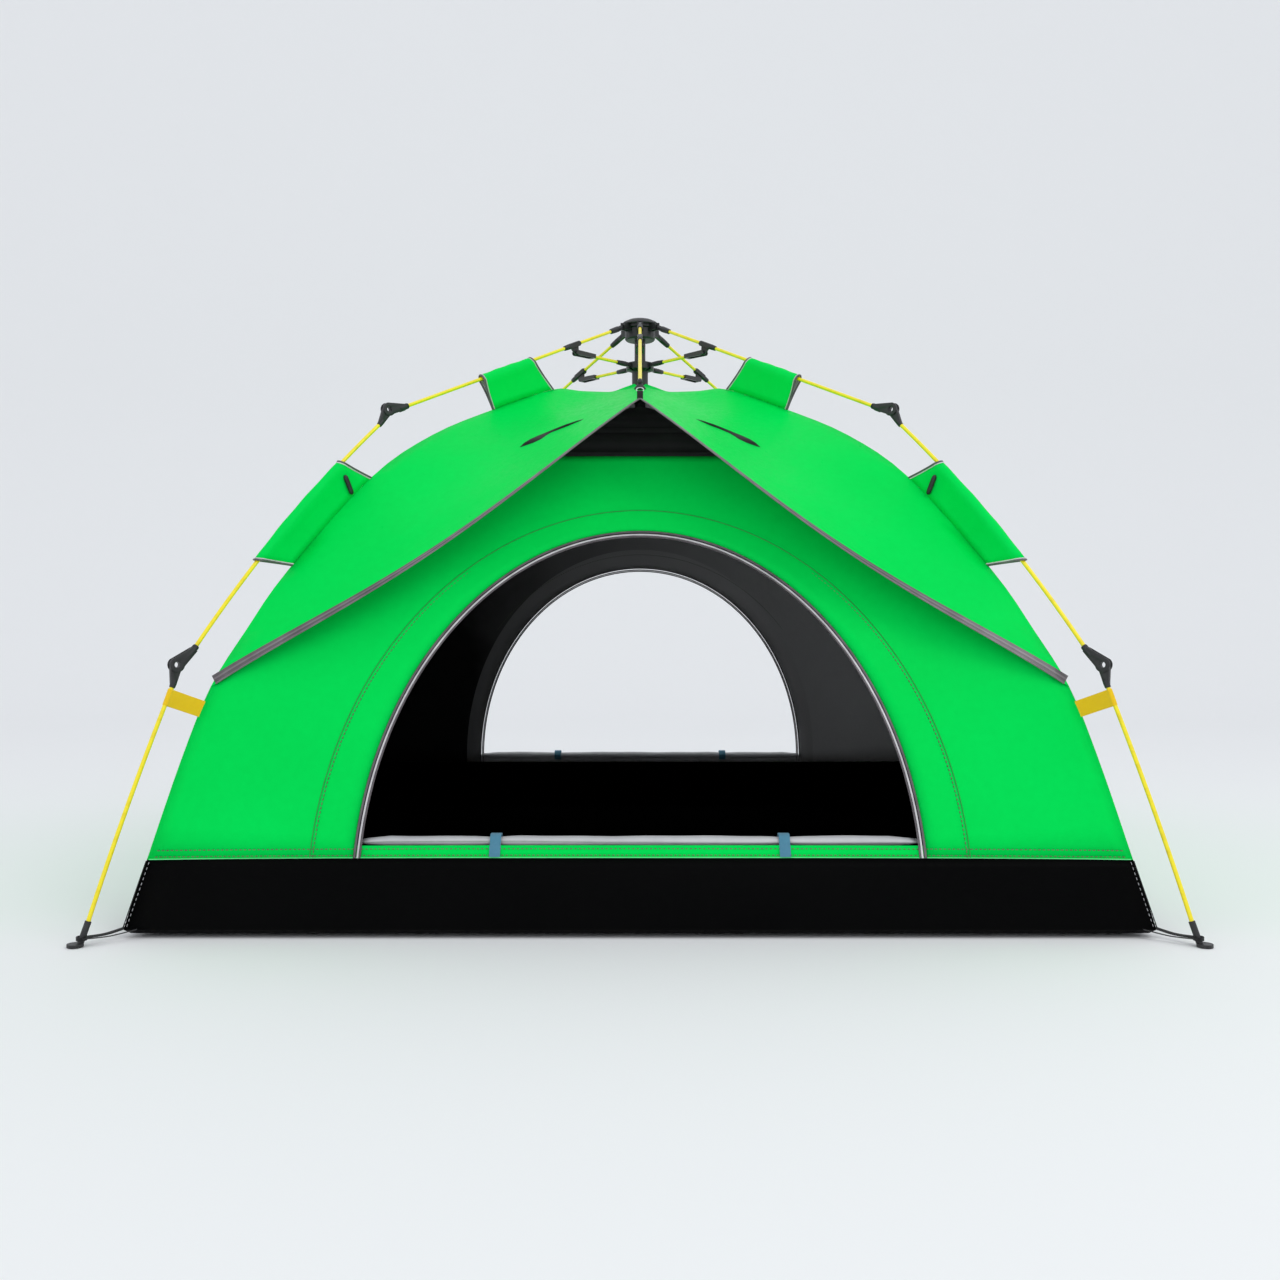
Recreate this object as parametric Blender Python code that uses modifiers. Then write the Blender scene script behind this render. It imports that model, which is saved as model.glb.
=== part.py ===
"""Pop-up dome tent hung under an umbrella-style pole frame.

Six ribs spread from a hub on a short post. Four of them carry on through two one-way knees
each to a foot at a floor corner, and two shorter ones hold up the awnings at the front and
rear. A runner on the post pushes six struts, which lock the ribs open.

Metres, +Z up, the front door towards -Y, the origin on the ground under the hub.
Each leg lies in an upright plane through the hub, so its points are given as (r, z):
the distance out from the hub's axis and the height.
"""
import math

import bmesh
import bpy
from mathutils import Vector

# ---- driving dimensions -------------------------------------------------------------------
FLOOR_HALF = 1.0            # half the floor's width and depth
FLOOR_EDGE_Z = 0.0166       # the floor's rim is lifted a little by the corner straps
WALL_TOP_R = 1.369          # where a corner ridge meets the black floor wall
WALL_TOP_Z = 0.1466
APEX_Z = 1.287              # top of the canopy, where the post passes through it
APEX_HOLE_R = 0.032
APEX_START = 0.2            # where the cloth begins along the corner ridge, past the hole
FABRIC = 0.0024             # thickness that stands for the cloth
SEAM_GAP = 0.006            # kept between neighbouring cloth panels

RIB_ROOT = (0.058, 1.4331)  # rib pivot on the hub
UPPER_KNEE = (0.815, 1.1051)
LOWER_KNEE = (1.310, 0.5286)
FOOT = (1.505, 0.0)
AWNING_RIB_LENGTH = 0.745
AWNING_RIB_PITCH = math.radians(23.7)
STRUT_ROOT = (0.033, 1.3311)
STRUT_LENGTH = 0.203
STRUT_SLOT = 0.052          # depth of the fork that straddles the collar and the rib

ROD_R = 0.00425
KNEE_OFFSET = 0.0075        # a knee's pin lies this far outside the line of its rods
KNEE_R = 0.014
KNEE_REACH = 0.042          # from the pin to where a rod begins
KNEE_WIDTH = 0.017
TONGUE_WIDTH = 0.0094
PIN_R = 0.0058
PIN_HOLE_R = 0.0045
MID_BOW = 0.017             # the middle rod is sprung outward by this much
LOWER_BOW = 0.004
COLLAR_LENGTH = 0.043
POST_R = 0.015
POST_BOTTOM_Z = 0.94
HUB_UNDER_Z = 1.4036
HUB_TOP_Z = 1.4631
GAP = 0.0003
ROD_END_GAP = 0.0010        # a bowed rod meets its socket at a slight slant

LEGS = {"front_right": -45.0, "rear_right": 45.0, "rear_left": 135.0, "front_left": 225.0}
AWNINGS = {"front": -90.0, "rear": 90.0}

# corner ridge of the canopy, in its diagonal plane, from the apex to the floor wall
RIDGE = [(0.0, 1.287), (0.317, 1.2236), (0.506, 1.1456), (0.693, 1.062), (0.860, 0.942),
         (1.054, 0.740), (1.233, 0.489), (1.300, 0.322), (WALL_TOP_R, WALL_TOP_Z)]
AWNING_END = 6              # the awning's edge starts at this ridge point
AWNING_TIP = Vector((0.0, -0.75, 1.0966))
AWNING_SAG = 0.030

PANEL_TOP_Z = 0.9956        # top edge of the door panel, under the awning
PANEL_LEAN = 0.4128         # how far the panel leans inward per metre of height
DOOR_HALF_WIDTH = 0.565
DOOR_SILL_Z = 0.128         # the arch is half an ellipse that springs from this height
SILL_TOP_Z = 0.170          # a strip of cloth stays under the doorway, up to here
DOOR_TOP_Z = 0.8166
ROLL_LENGTH = 1.11
ROLL_RADIUS_Y = 0.018
ROLL_RADIUS_Z = 0.011
ROLL_AT = (0.914, 0.174)    # the roll's distance from the middle, and its height


def clear_scene():
    for obj in list(bpy.data.objects):
        bpy.data.objects.remove(obj, do_unlink=True)


def new_collection(name):
    made = bpy.data.collections.new(name)
    bpy.context.scene.collection.children.link(made)
    return made


clear_scene()
TENT = new_collection("pole_tent")
CUTTERS = new_collection("cutters")


# ---- materials ------------------------------------------------------------------------------
def material(name, color, roughness, metallic=0.0):
    made = bpy.data.materials.new(name)
    made.use_nodes = True
    shader = made.node_tree.nodes["Principled BSDF"]
    shader.inputs["Base Color"].default_value = (*color, 1.0)
    shader.inputs["Roughness"].default_value = roughness
    shader.inputs["Metallic"].default_value = metallic
    made.diffuse_color = (*color, 1.0)
    return made


YELLOW = material("yellow_rod", (1.0, 0.85, 0.0), 0.35)
BLACK_PLASTIC = material("black_plastic", (0.012, 0.012, 0.013), 0.45)
GREEN_CLOTH = material("green_cloth", (0.0, 0.78, 0.10), 0.75)
BLACK_CLOTH = material("black_cloth", (0.006, 0.006, 0.007), 0.7)
MESH_CLOTH = material("mesh_cloth", (0.02, 0.02, 0.02), 0.9)
SILVER_CLOTH = material("silver_cloth", (0.75, 0.76, 0.78), 0.5)


# ---- helpers --------------------------------------------------------------------------------
def finish(obj, name, mat, group=TENT):
    """Name an object, give it its material and put it in its collection."""
    obj.name = name
    obj.data.name = name
    obj.data.materials.clear()
    obj.data.materials.append(mat)
    for owner in list(obj.users_collection):
        owner.objects.unlink(obj)
    group.objects.link(obj)
    return obj


def as_mesh(obj):
    """Replace a curve by the closed mesh it evaluates to."""
    bpy.context.view_layer.update()
    evaluated = obj.evaluated_get(bpy.context.evaluated_depsgraph_get())
    mesh = bpy.data.meshes.new_from_object(evaluated)
    made = bpy.data.objects.new(obj.name, mesh)
    made.matrix_world = obj.matrix_world.copy()
    TENT.objects.link(made)
    bpy.data.objects.remove(obj, do_unlink=True)
    work = bmesh.new()
    work.from_mesh(mesh)
    bmesh.ops.remove_doubles(work, verts=work.verts, dist=0.00001)
    bmesh.ops.recalc_face_normals(work, faces=work.faces)
    work.to_mesh(mesh)
    work.free()
    return made


def slab(outline, width, holes=()):
    """A plate from an outline in X and Z, `width` thick and centred on Y."""
    curve = bpy.data.curves.new("slab", "CURVE")
    curve.dimensions = "2D"
    curve.fill_mode = "BOTH"
    curve.extrude = width / 2
    for loop in (outline, *holes):
        spline = curve.splines.new("POLY")
        spline.points.add(len(loop) - 1)
        for point, (x, z) in zip(spline.points, loop):
            point.co = (x, z, 0.0, 1.0)
        spline.use_cyclic_u = True
    obj = bpy.data.objects.new("slab", curve)
    TENT.objects.link(obj)
    obj.rotation_euler = (math.pi / 2, 0.0, 0.0)
    made = as_mesh(obj)
    made.data.transform(made.matrix_world)
    made.matrix_world.identity()
    return made


def arc(cx, cz, radius, start, end, steps):
    """Points of an arc in X and Z, both ends included, angles in degrees."""
    points = []
    for i in range(steps + 1):
        angle = math.radians(start + (end - start) * i / steps)
        points.append((cx + radius * math.cos(angle), cz + radius * math.sin(angle)))
    return points


def box(low, high):
    bpy.ops.mesh.primitive_cube_add(size=1.0)
    obj = bpy.context.object
    low, high = Vector(low), Vector(high)
    obj.scale = high - low
    obj.location = (low + high) / 2
    apply_transform(obj)
    return obj


def cylinder(radius, start, end, sides=16):
    """A cylinder from one point to another."""
    start, end = Vector(start), Vector(end)
    bpy.ops.mesh.primitive_cylinder_add(vertices=sides, radius=radius, depth=(end - start).length)
    obj = bpy.context.object
    obj.rotation_mode = "QUATERNION"
    obj.rotation_quaternion = (end - start).to_track_quat("Z", "Y")
    obj.location = (start + end) / 2
    apply_transform(obj)
    obj.rotation_mode = "XYZ"
    return obj


def apply_transform(obj):
    bpy.context.view_layer.update()
    obj.data.transform(obj.matrix_world)
    obj.matrix_world.identity()


def combine(obj, other, operation):
    """Apply an exact Boolean to obj and remove the other object."""
    step = obj.modifiers.new(operation.lower(), "BOOLEAN")
    step.operation = operation
    step.solver = "EXACT"
    step.object = other
    bpy.context.view_layer.update()
    evaluated = obj.evaluated_get(bpy.context.evaluated_depsgraph_get())
    mesh = bpy.data.meshes.new_from_object(evaluated)
    obj.modifiers.clear()
    obj.data = mesh
    bpy.data.objects.remove(other, do_unlink=True)
    work = bmesh.new()
    work.from_mesh(mesh)
    bmesh.ops.remove_doubles(work, verts=work.verts, dist=0.00001)
    bmesh.ops.dissolve_degenerate(work, edges=work.edges, dist=0.00001)
    work.to_mesh(mesh)
    work.free()
    return obj


def soften(obj, width, segments=1, angle=30.0):
    """Break the sharp edges and bake the bevel in, so that cuts come after it."""
    step = obj.modifiers.new("soften", "BEVEL")
    step.width = width
    step.segments = segments
    step.limit_method = "ANGLE"
    step.angle_limit = math.radians(angle)
    bpy.context.view_layer.update()
    evaluated = obj.evaluated_get(bpy.context.evaluated_depsgraph_get())
    mesh = bpy.data.meshes.new_from_object(evaluated)
    obj.modifiers.clear()
    obj.data = mesh
    return obj


def shade(obj, angle=35.0):
    obj.data.shade_smooth()
    obj.data.set_sharp_from_angle(angle=math.radians(angle))
    return obj


def rod(points, radius=ROD_R):
    """A round rod along points in X and Z."""
    curve = bpy.data.curves.new("rod", "CURVE")
    curve.dimensions = "3D"
    curve.bevel_depth = radius
    curve.bevel_resolution = 2
    curve.use_fill_caps = True
    spline = curve.splines.new("POLY")
    spline.points.add(len(points) - 1)
    for point, (x, z) in zip(spline.points, points):
        point.co = (x, 0.0, z, 1.0)
    obj = bpy.data.objects.new("rod", curve)
    TENT.objects.link(obj)
    return as_mesh(obj)


def bowed(start, end, bow, steps):
    """Points of a shallow bow between two x positions, on the rods' line."""
    points = []
    for i in range(steps + 1):
        t = i / steps
        points.append((start + (end - start) * t, -KNEE_OFFSET + 4 * bow * t * (1 - t)))
    return points


def pitch_between(a, b):
    """How far the line from a to b points below level, in radians."""
    return math.atan2(a[1] - b[1], b[0] - a[0])


def joint_empty(name, point, pitch, azimuth):
    """An empty on a joint's axis: its X runs down the piece, its Y along the axis."""
    turn = math.radians(azimuth)
    empty = bpy.data.objects.new(name, None)
    empty.empty_display_size = 0.03
    empty.location = (point[0] * math.cos(turn), point[0] * math.sin(turn), point[1])
    empty.rotation_euler = (0.0, pitch, turn)
    TENT.objects.link(empty)
    return empty


def place(mesh, name, mat, parent):
    """A new object that shares a mesh and hangs from a joint's empty."""
    obj = bpy.data.objects.new(name, mesh)
    TENT.objects.link(obj)
    finish_shared(obj, name, mat)
    obj.parent = parent
    return obj


def finish_shared(obj, name, mat):
    obj.name = name
    if not obj.data.materials:
        obj.data.materials.append(mat)


def taken_mesh(obj):
    """Keep an object's mesh and drop the object."""
    mesh = obj.data
    bpy.data.objects.remove(obj, do_unlink=True)
    return mesh


# ---- knees ----------------------------------------------------------------------------------
def knee_outline(side, radius, reach):
    """Side view of half a knee with its pin at the origin; side is -1 for a fork, 1 for a tongue."""
    half = 0.0067
    top = -KNEE_OFFSET + half
    bottom = -KNEE_OFFSET - half
    points = [(reach * side, top), (0.020 * side, top)]
    if side < 0:
        points += arc(0.0, 0.0, radius, 165.0, -75.0, 8)
    else:
        points += arc(0.0, 0.0, radius, 15.0, 255.0, 8)
    points += [(0.022 * side, bottom), (reach * side, bottom)]
    return points


def fork_mesh():
    """The upper half of a knee: two cheeks, the hollow pin across them and the stop nose."""
    body = slab(knee_outline(-1, KNEE_R + 0.002, KNEE_REACH), KNEE_WIDTH)
    nose = slab([(-0.012, -0.012), (0.004, -0.014), (0.011, -0.021), (0.009, -0.026),
                 (0.002, -0.0265), (-0.016, -0.0145)], KNEE_WIDTH)
    combine(body, nose, "UNION")
    soften(body, 0.0018)
    slot_half = TONGUE_WIDTH / 2 + GAP
    slot = box((-0.0175, -slot_half, -0.03), (0.03, slot_half, 0.03))
    pin = cylinder(PIN_R, (0.0, -slot_half - 0.001, 0.0), (0.0, slot_half + 0.001, 0.0), 12)
    combine(slot, pin, "DIFFERENCE")
    combine(body, slot, "DIFFERENCE")
    hole = cylinder(PIN_HOLE_R, (0.0, -0.02, 0.0), (0.0, 0.02, 0.0), 12)
    combine(body, hole, "DIFFERENCE")
    return taken_mesh(shade(body))


def tongue_mesh():
    """The lower half of a knee: a round-ended tongue that widens into the rod's socket."""
    body = slab(knee_outline(1, KNEE_R, KNEE_REACH), TONGUE_WIDTH)
    half = 0.0067
    socket = slab([(0.0205, -KNEE_OFFSET - half), (KNEE_REACH, -KNEE_OFFSET - half),
                   (KNEE_REACH, -KNEE_OFFSET + half), (0.0205, -KNEE_OFFSET + half)],
                  KNEE_WIDTH - 0.002)
    combine(body, socket, "UNION")
    bore = cylinder(PIN_R + 0.0008, (0.0, -0.02, 0.0), (0.0, 0.02, 0.0), 12)
    combine(body, bore, "DIFFERENCE")
    return taken_mesh(shade(body))


# ---- hub, post and runner -------------------------------------------------------------------
def turned(name, profile, mat, sides=32):
    """A profile of (radius, height) points, top to bottom, turned about the Z axis."""
    mesh = bpy.data.meshes.new(name)
    work = bmesh.new()
    verts = [work.verts.new((r, 0.0, z)) for r, z in profile]
    for a, b in zip(verts, verts[1:]):
        work.edges.new((a, b))
    work.to_mesh(mesh)
    work.free()
    obj = bpy.data.objects.new(name, mesh)
    TENT.objects.link(obj)
    screw = obj.modifiers.new("turn", "SCREW")
    screw.steps = sides
    screw.render_steps = sides
    screw.use_merge_vertices = True
    screw.merge_threshold = 0.0001
    bpy.context.view_layer.update()
    evaluated = obj.evaluated_get(bpy.context.evaluated_depsgraph_get())
    obj.data = bpy.data.meshes.new_from_object(evaluated)
    obj.modifiers.clear()
    return finish(obj, name, mat)


def spun(shape, azimuth):
    """Turn a solid's mesh about the Z axis."""
    shape.rotation_euler = (0.0, 0.0, math.radians(azimuth))
    apply_transform(shape)
    return shape


def rib_azimuths():
    return list(LEGS.values()) + list(AWNINGS.values())


def build_hub():
    hub = turned("hub_body", [
        (0.0, HUB_TOP_Z), (0.016, 1.4622), (0.030, 1.4590), (0.041, 1.4520), (0.047, 1.4440),
        (0.047, 1.4350), (0.0415, 1.4330), (0.0415, 1.4070), (0.038, HUB_UNDER_Z),
        (0.0, HUB_UNDER_Z)], BLACK_PLASTIC, 24)
    for azimuth in rib_azimuths():
        ear = box((0.032, -0.0085, 1.4235), (0.0665, 0.0085, 1.4425))
        combine(hub, spun(ear, azimuth), "UNION")
    for azimuth in rib_azimuths():
        slot = box((0.0475, -0.0045, 1.40), (0.09, 0.0045, 1.48))
        combine(hub, spun(slot, azimuth), "DIFFERENCE")
    shade(hub)
    post = cylinder(POST_R, (0.0, 0.0, POST_BOTTOM_Z), (0.0, 0.0, HUB_UNDER_Z - GAP), 24)
    finish(shade(post), "post", BLACK_PLASTIC)


def build_runner():
    runner = turned("runner", [
        (POST_R + 0.0008, 1.3440), (0.024, 1.3440), (0.038, 1.3400), (0.038, 1.3222),
        (0.024, 1.3180), (0.022, 1.3150), (0.022, 1.2400), (0.0235, 1.2385), (0.0235, 1.2325),
        (POST_R + 0.0008, 1.2325), (POST_R + 0.0008, 1.3440)], BLACK_PLASTIC, 24)
    for azimuth in rib_azimuths():
        slot = box((0.0245, -0.0045, 1.30), (0.06, 0.0045, 1.36))
        combine(runner, spun(slot, azimuth), "DIFFERENCE")
    shade(runner)


# ---- ribs, collars and struts ---------------------------------------------------------------
def rib_mesh(length):
    """A rod with the flat root that pivots in the hub; the pivot is at the origin."""
    root = slab([(0.048, 0.0062), (0.004, 0.0066)] + arc(0.0, 0.0, 0.0072, 75.0, 285.0, 10)
                + [(0.004, -0.0066), (0.048, -0.0062)], 0.0080)
    sleeve = cylinder(0.0064, (0.016, 0.0, 0.0), (0.057, 0.0, 0.0), 10)
    combine(root, sleeve, "UNION")
    bar = rod([(0.05, 0.0), (length, 0.0)])
    combine(root, bar, "UNION")
    return taken_mesh(shade(root))


def collar_mesh(along, below):
    """A collar round the rib, with a lug that ends in the strut's pin."""
    half = COLLAR_LENGTH / 2
    block = slab([(along - half, -0.0068), (along - half, 0.0068), (along + half, 0.0068),
                  (along + half, -0.0068)], 0.0136)
    soften(block, 0.003)
    lug = slab([(along - 0.013, -0.004), (along + 0.013, -0.004), (along + 0.007, -below + 0.001)]
               + arc(along, -below, 0.0060, 0.0, -180.0, 5) + [(along - 0.007, -below + 0.001)],
               0.0062)
    combine(block, lug, "UNION")
    pin = cylinder(0.0030, (along, -0.0071, -below), (along, 0.0071, -below), 8)
    combine(block, pin, "UNION")
    bore = cylinder(ROD_R + 0.0005, (along - 0.1, 0.0, 0.0), (along + 0.1, 0.0, 0.0), 12)
    combine(block, bore, "DIFFERENCE")
    return taken_mesh(shade(block))


def strut_mesh():
    """Pivot on the runner at the origin; the far fork straddles the collar's lug."""
    inner = slab([(0.038, 0.0052)] + arc(0.0, 0.0, 0.0055, 90.0, 270.0, 8)
                 + [(0.038, -0.0052)], 0.0080)
    slot_start = STRUT_LENGTH - STRUT_SLOT
    bar = cylinder(ROD_R, (0.030, 0.0, 0.0), (slot_start - 0.003, 0.0, 0.0), 12)
    combine(inner, bar, "UNION")
    start = slot_start - 0.009
    fork = slab([(start, 0.0052), (start, -0.0052)]
                + arc(STRUT_LENGTH, 0.0, 0.0062, -90.0, 90.0, 8), 0.0204)
    slot = box((slot_start, -0.0074, -0.02), (STRUT_LENGTH + 0.02, 0.0074, 0.02))
    combine(fork, slot, "DIFFERENCE")
    combine(inner, fork, "UNION")
    return taken_mesh(shade(inner))


def foot_mesh(pitch, reach):
    """A socket on the lower rod's end that flares into a flat pad on the ground."""
    socket = cylinder(0.0062, (reach - 0.050, 0.0, -KNEE_OFFSET), (reach - 0.006, 0.0, -KNEE_OFFSET), 10)
    pad = cylinder(0.015, (0.0, 0.0, 0.0), (0.0, 0.0, 0.006), 16)
    pad.rotation_euler = (0.0, -pitch, 0.0)
    pad.location = (reach, 0.0, 0.0)
    apply_transform(pad)
    combine(pad, socket, "UNION")
    return taken_mesh(shade(pad))


# ---- frame assembly -------------------------------------------------------------------------
def build_frame():
    fork = fork_mesh()
    tongue = tongue_mesh()
    strut = strut_mesh()

    knee_length = math.dist(RIB_ROOT, UPPER_KNEE)
    rib_length = math.sqrt(knee_length ** 2 - KNEE_OFFSET ** 2)
    rib_pitch = pitch_between(RIB_ROOT, UPPER_KNEE) + math.asin(KNEE_OFFSET / knee_length)
    mid_pitch = pitch_between(UPPER_KNEE, LOWER_KNEE)
    mid_length = math.dist(UPPER_KNEE, LOWER_KNEE)
    lower_pitch = pitch_between(LOWER_KNEE, FOOT)
    lower_length = math.dist(LOWER_KNEE, FOOT)

    rib = rib_mesh(rib_length - KNEE_REACH - GAP)
    mid = taken_mesh(shade(rod(bowed(KNEE_REACH + ROD_END_GAP, mid_length - KNEE_REACH - ROD_END_GAP, MID_BOW, 8))))
    lower = taken_mesh(shade(rod(bowed(KNEE_REACH + ROD_END_GAP, lower_length - 0.050 - ROD_END_GAP, LOWER_BOW, 4))))
    foot = foot_mesh(lower_pitch, lower_length)
    awning_rib = rib_mesh(AWNING_RIB_LENGTH)

    pin = (STRUT_ROOT[0] + STRUT_LENGTH, STRUT_ROOT[1])
    collars = {}
    for pitch in (rib_pitch, AWNING_RIB_PITCH):
        out, down = pin[0] - RIB_ROOT[0], RIB_ROOT[1] - pin[1]
        along = out * math.cos(pitch) + down * math.sin(pitch)
        below = down * math.cos(pitch) - out * math.sin(pitch)
        collars[pitch] = collar_mesh(along, below)

    for name, azimuth in LEGS.items():
        rib_axis = joint_empty("axis_rib_" + name, RIB_ROOT, rib_pitch, azimuth)
        place(rib, "rib_" + name, YELLOW, rib_axis)
        place(collars[rib_pitch], "collar_" + name, BLACK_PLASTIC, rib_axis)
        knee = place(fork, "upper_knee_fork_" + name, BLACK_PLASTIC, rib_axis)
        knee.location = (rib_length, 0.0, KNEE_OFFSET)
        mid_axis = joint_empty("axis_upper_knee_" + name, UPPER_KNEE, mid_pitch, azimuth)
        place(tongue, "upper_knee_tongue_" + name, BLACK_PLASTIC, mid_axis)
        place(mid, "middle_rod_" + name, YELLOW, mid_axis)
        knee = place(fork, "lower_knee_fork_" + name, BLACK_PLASTIC, mid_axis)
        knee.location = (mid_length, 0.0, 0.0)
        low_axis = joint_empty("axis_lower_knee_" + name, LOWER_KNEE, lower_pitch, azimuth)
        place(tongue, "lower_knee_tongue_" + name, BLACK_PLASTIC, low_axis)
        place(lower, "lower_rod_" + name, YELLOW, low_axis)
        place(foot, "foot_" + name, BLACK_PLASTIC, low_axis)
        strut_axis = joint_empty("axis_strut_" + name, STRUT_ROOT, 0.0, azimuth)
        place(strut, "strut_" + name, YELLOW, strut_axis)

    for name, azimuth in AWNINGS.items():
        rib_axis = joint_empty("axis_rib_" + name, RIB_ROOT, AWNING_RIB_PITCH, azimuth)
        place(awning_rib, "awning_rib_" + name, YELLOW, rib_axis)
        place(collars[AWNING_RIB_PITCH], "collar_" + name, BLACK_PLASTIC, rib_axis)
        strut_axis = joint_empty("axis_strut_" + name, STRUT_ROOT, 0.0, azimuth)
        place(strut, "strut_" + name, YELLOW, strut_axis)


# ---- cloth ----------------------------------------------------------------------------------
def ridge_at(t):
    """A smooth point (r, z) on the corner ridge, t in steps of the RIDGE list."""
    last = len(RIDGE) - 1
    i = min(int(t), last - 1)
    f = t - i
    p = [Vector(RIDGE[max(0, min(last, k))]) for k in (i - 1, i, i + 1, i + 2)]
    a = 2 * p[1]
    b = p[2] - p[0]
    c = 2 * p[0] - 5 * p[1] + 4 * p[2] - p[3]
    d = -p[0] + 3 * p[1] - 3 * p[2] + p[3]
    return (a + b * f + c * f * f + d * f ** 3) / 2


def ridge_x(z):
    """How far out in X (and Y) the corner ridge is at a height."""
    low, high = 0.0, float(len(RIDGE) - 1)
    for _ in range(30):
        middle = (low + high) / 2
        if ridge_at(middle).y > z:
            low = middle
        else:
            high = middle
    return ridge_at(low).x / math.sqrt(2)


def sheet_mesh(rows):
    """An open surface from rows of points."""
    work = bmesh.new()
    grid = [[work.verts.new(p) for p in row] for row in rows]
    for upper, lower in zip(grid, grid[1:]):
        for i in range(len(upper) - 1):
            work.faces.new((upper[i], lower[i], lower[i + 1], upper[i + 1]))
    mesh = bpy.data.meshes.new("sheet")
    work.to_mesh(mesh)
    work.free()
    return mesh


def cloth_object(name, rows, mat, azimuth=0.0):
    """A cloth panel: an open surface thickened inward, turned about the hub's axis."""
    obj = bpy.data.objects.new(name, sheet_mesh(rows))
    TENT.objects.link(obj)
    spun(obj, azimuth)
    solid = obj.modifiers.new("cloth", "SOLIDIFY")
    solid.thickness = FABRIC
    solid.offset = -1.0
    solid.use_even_offset = True
    obj = as_mesh(obj)
    finish(obj, name, mat)
    return shade(obj, 50.0)


def awning_rows():
    """The front roof panel, from the apex out to the awning's curved edge."""
    rows = []
    steps = 7
    for j in range(steps + 1):
        v = j / steps
        start = APEX_START + v * (AWNING_END - APEX_START)
        r, z = ridge_at(start)
        corner = Vector((r / math.sqrt(2) - SEAM_GAP, -r / math.sqrt(2), z))
        reach = APEX_HOLE_R / 0.75 + v * (1.0 - APEX_HOLE_R / 0.75)
        centre = Vector((0.0, AWNING_TIP.y * reach, APEX_Z + (AWNING_TIP.z - APEX_Z) * reach))
        row = []
        for k in range(-6, 7):
            u = k / 6
            point = centre.lerp(Vector((math.copysign(corner.x, u), corner.y, corner.z)), abs(u))
            point.z -= AWNING_SAG * v * math.sin(math.pi * abs(u))
            row.append(point)
        rows.append(row)
    return rows


def wall_rows():
    """The right side panel, from the apex down to the floor wall, drawn in between its ridges."""
    rows = []
    steps = 10
    last = len(RIDGE) - 1
    for j in range(steps + 1):
        v = j / steps
        r, z = ridge_at(APEX_START + v * (last - APEX_START))
        x = r / math.sqrt(2)
        row = []
        for k in range(7):
            u = k / 6
            sag = 0.045 * math.sin(math.pi * v) * 4 * u * (1 - u)
            row.append(Vector((x - sag, (x - SEAM_GAP) * (2 * u - 1), z)))
        rows.append(row)
    return rows


def panel_plane_y(z):
    """Where the door panel's middle lies at a height."""
    return -(FLOOR_HALF - PANEL_LEAN * (z - FLOOR_EDGE_Z))


def panel_rows():
    """The front door panel, drawn in between the ridges, before the door is cut."""
    rows = []
    steps = 7
    low = WALL_TOP_Z + 0.004
    for j in range(steps + 1):
        z = PANEL_TOP_Z + (low - PANEL_TOP_Z) * j / steps
        half = ridge_x(z) - 0.016
        row = []
        for k in range(-6, 7):
            u = k / 6
            pull = abs(u) ** 3
            y = panel_plane_y(z) * (1 - pull) - half * pull
            row.append(Vector((half * u, y, z)))
        rows.append(row)
    return rows


def roof_cutter():
    """Everything above the underside of the front roof panel."""
    rows = awning_rows()
    work = bmesh.new()
    lower = [[work.verts.new(p - Vector((0.0, 0.0, 0.009))) for p in row] for row in rows]
    faces = []
    for a, b in zip(lower, lower[1:]):
        for i in range(len(a) - 1):
            faces.append(work.faces.new((a[i], b[i], b[i + 1], a[i + 1])))
    grown = bmesh.ops.extrude_face_region(work, geom=faces)
    for element in grown["geom"]:
        if isinstance(element, bmesh.types.BMVert):
            element.co.z += 0.8
    bmesh.ops.recalc_face_normals(work, faces=work.faces)
    mesh = bpy.data.meshes.new("roof_cutter")
    work.to_mesh(mesh)
    work.free()
    obj = bpy.data.objects.new("roof_cutter", mesh)
    CUTTERS.objects.link(obj)
    return obj


def door_cutter():
    """Half an ellipse above the sill strip, right through the panel."""
    rise = DOOR_TOP_Z - DOOR_SILL_Z
    start = math.asin((SILL_TOP_Z - DOOR_SILL_Z) / rise)
    outline = []
    steps = 16
    for i in range(steps + 1):
        angle = start + (math.pi - 2 * start) * i / steps
        outline.append((DOOR_HALF_WIDTH * math.cos(angle), DOOR_SILL_Z + rise * math.sin(angle)))
    obj = slab(outline, 1.2)
    obj.location = (0.0, -0.9, 0.0)
    apply_transform(obj)
    return obj


def drop_offcuts(obj):
    """Keep only the largest of the bodies that a cut has left."""
    work = bmesh.new()
    work.from_mesh(obj.data)
    unseen = set(work.faces)
    bodies = []
    while unseen:
        first = unseen.pop()
        body = [first]
        stack = [first]
        while stack:
            near = {face for edge in stack.pop().edges for face in edge.link_faces} & unseen
            unseen -= near
            body += near
            stack += near
        bodies.append(body)
    bodies.sort(key=len)
    loose = [face for body in bodies[:-1] for face in body]
    bmesh.ops.delete(work, geom=loose, context="FACES")
    work.to_mesh(obj.data)
    work.free()
    return obj


def turn_to(obj, azimuth):
    return spun(obj, azimuth) if azimuth else obj


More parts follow.
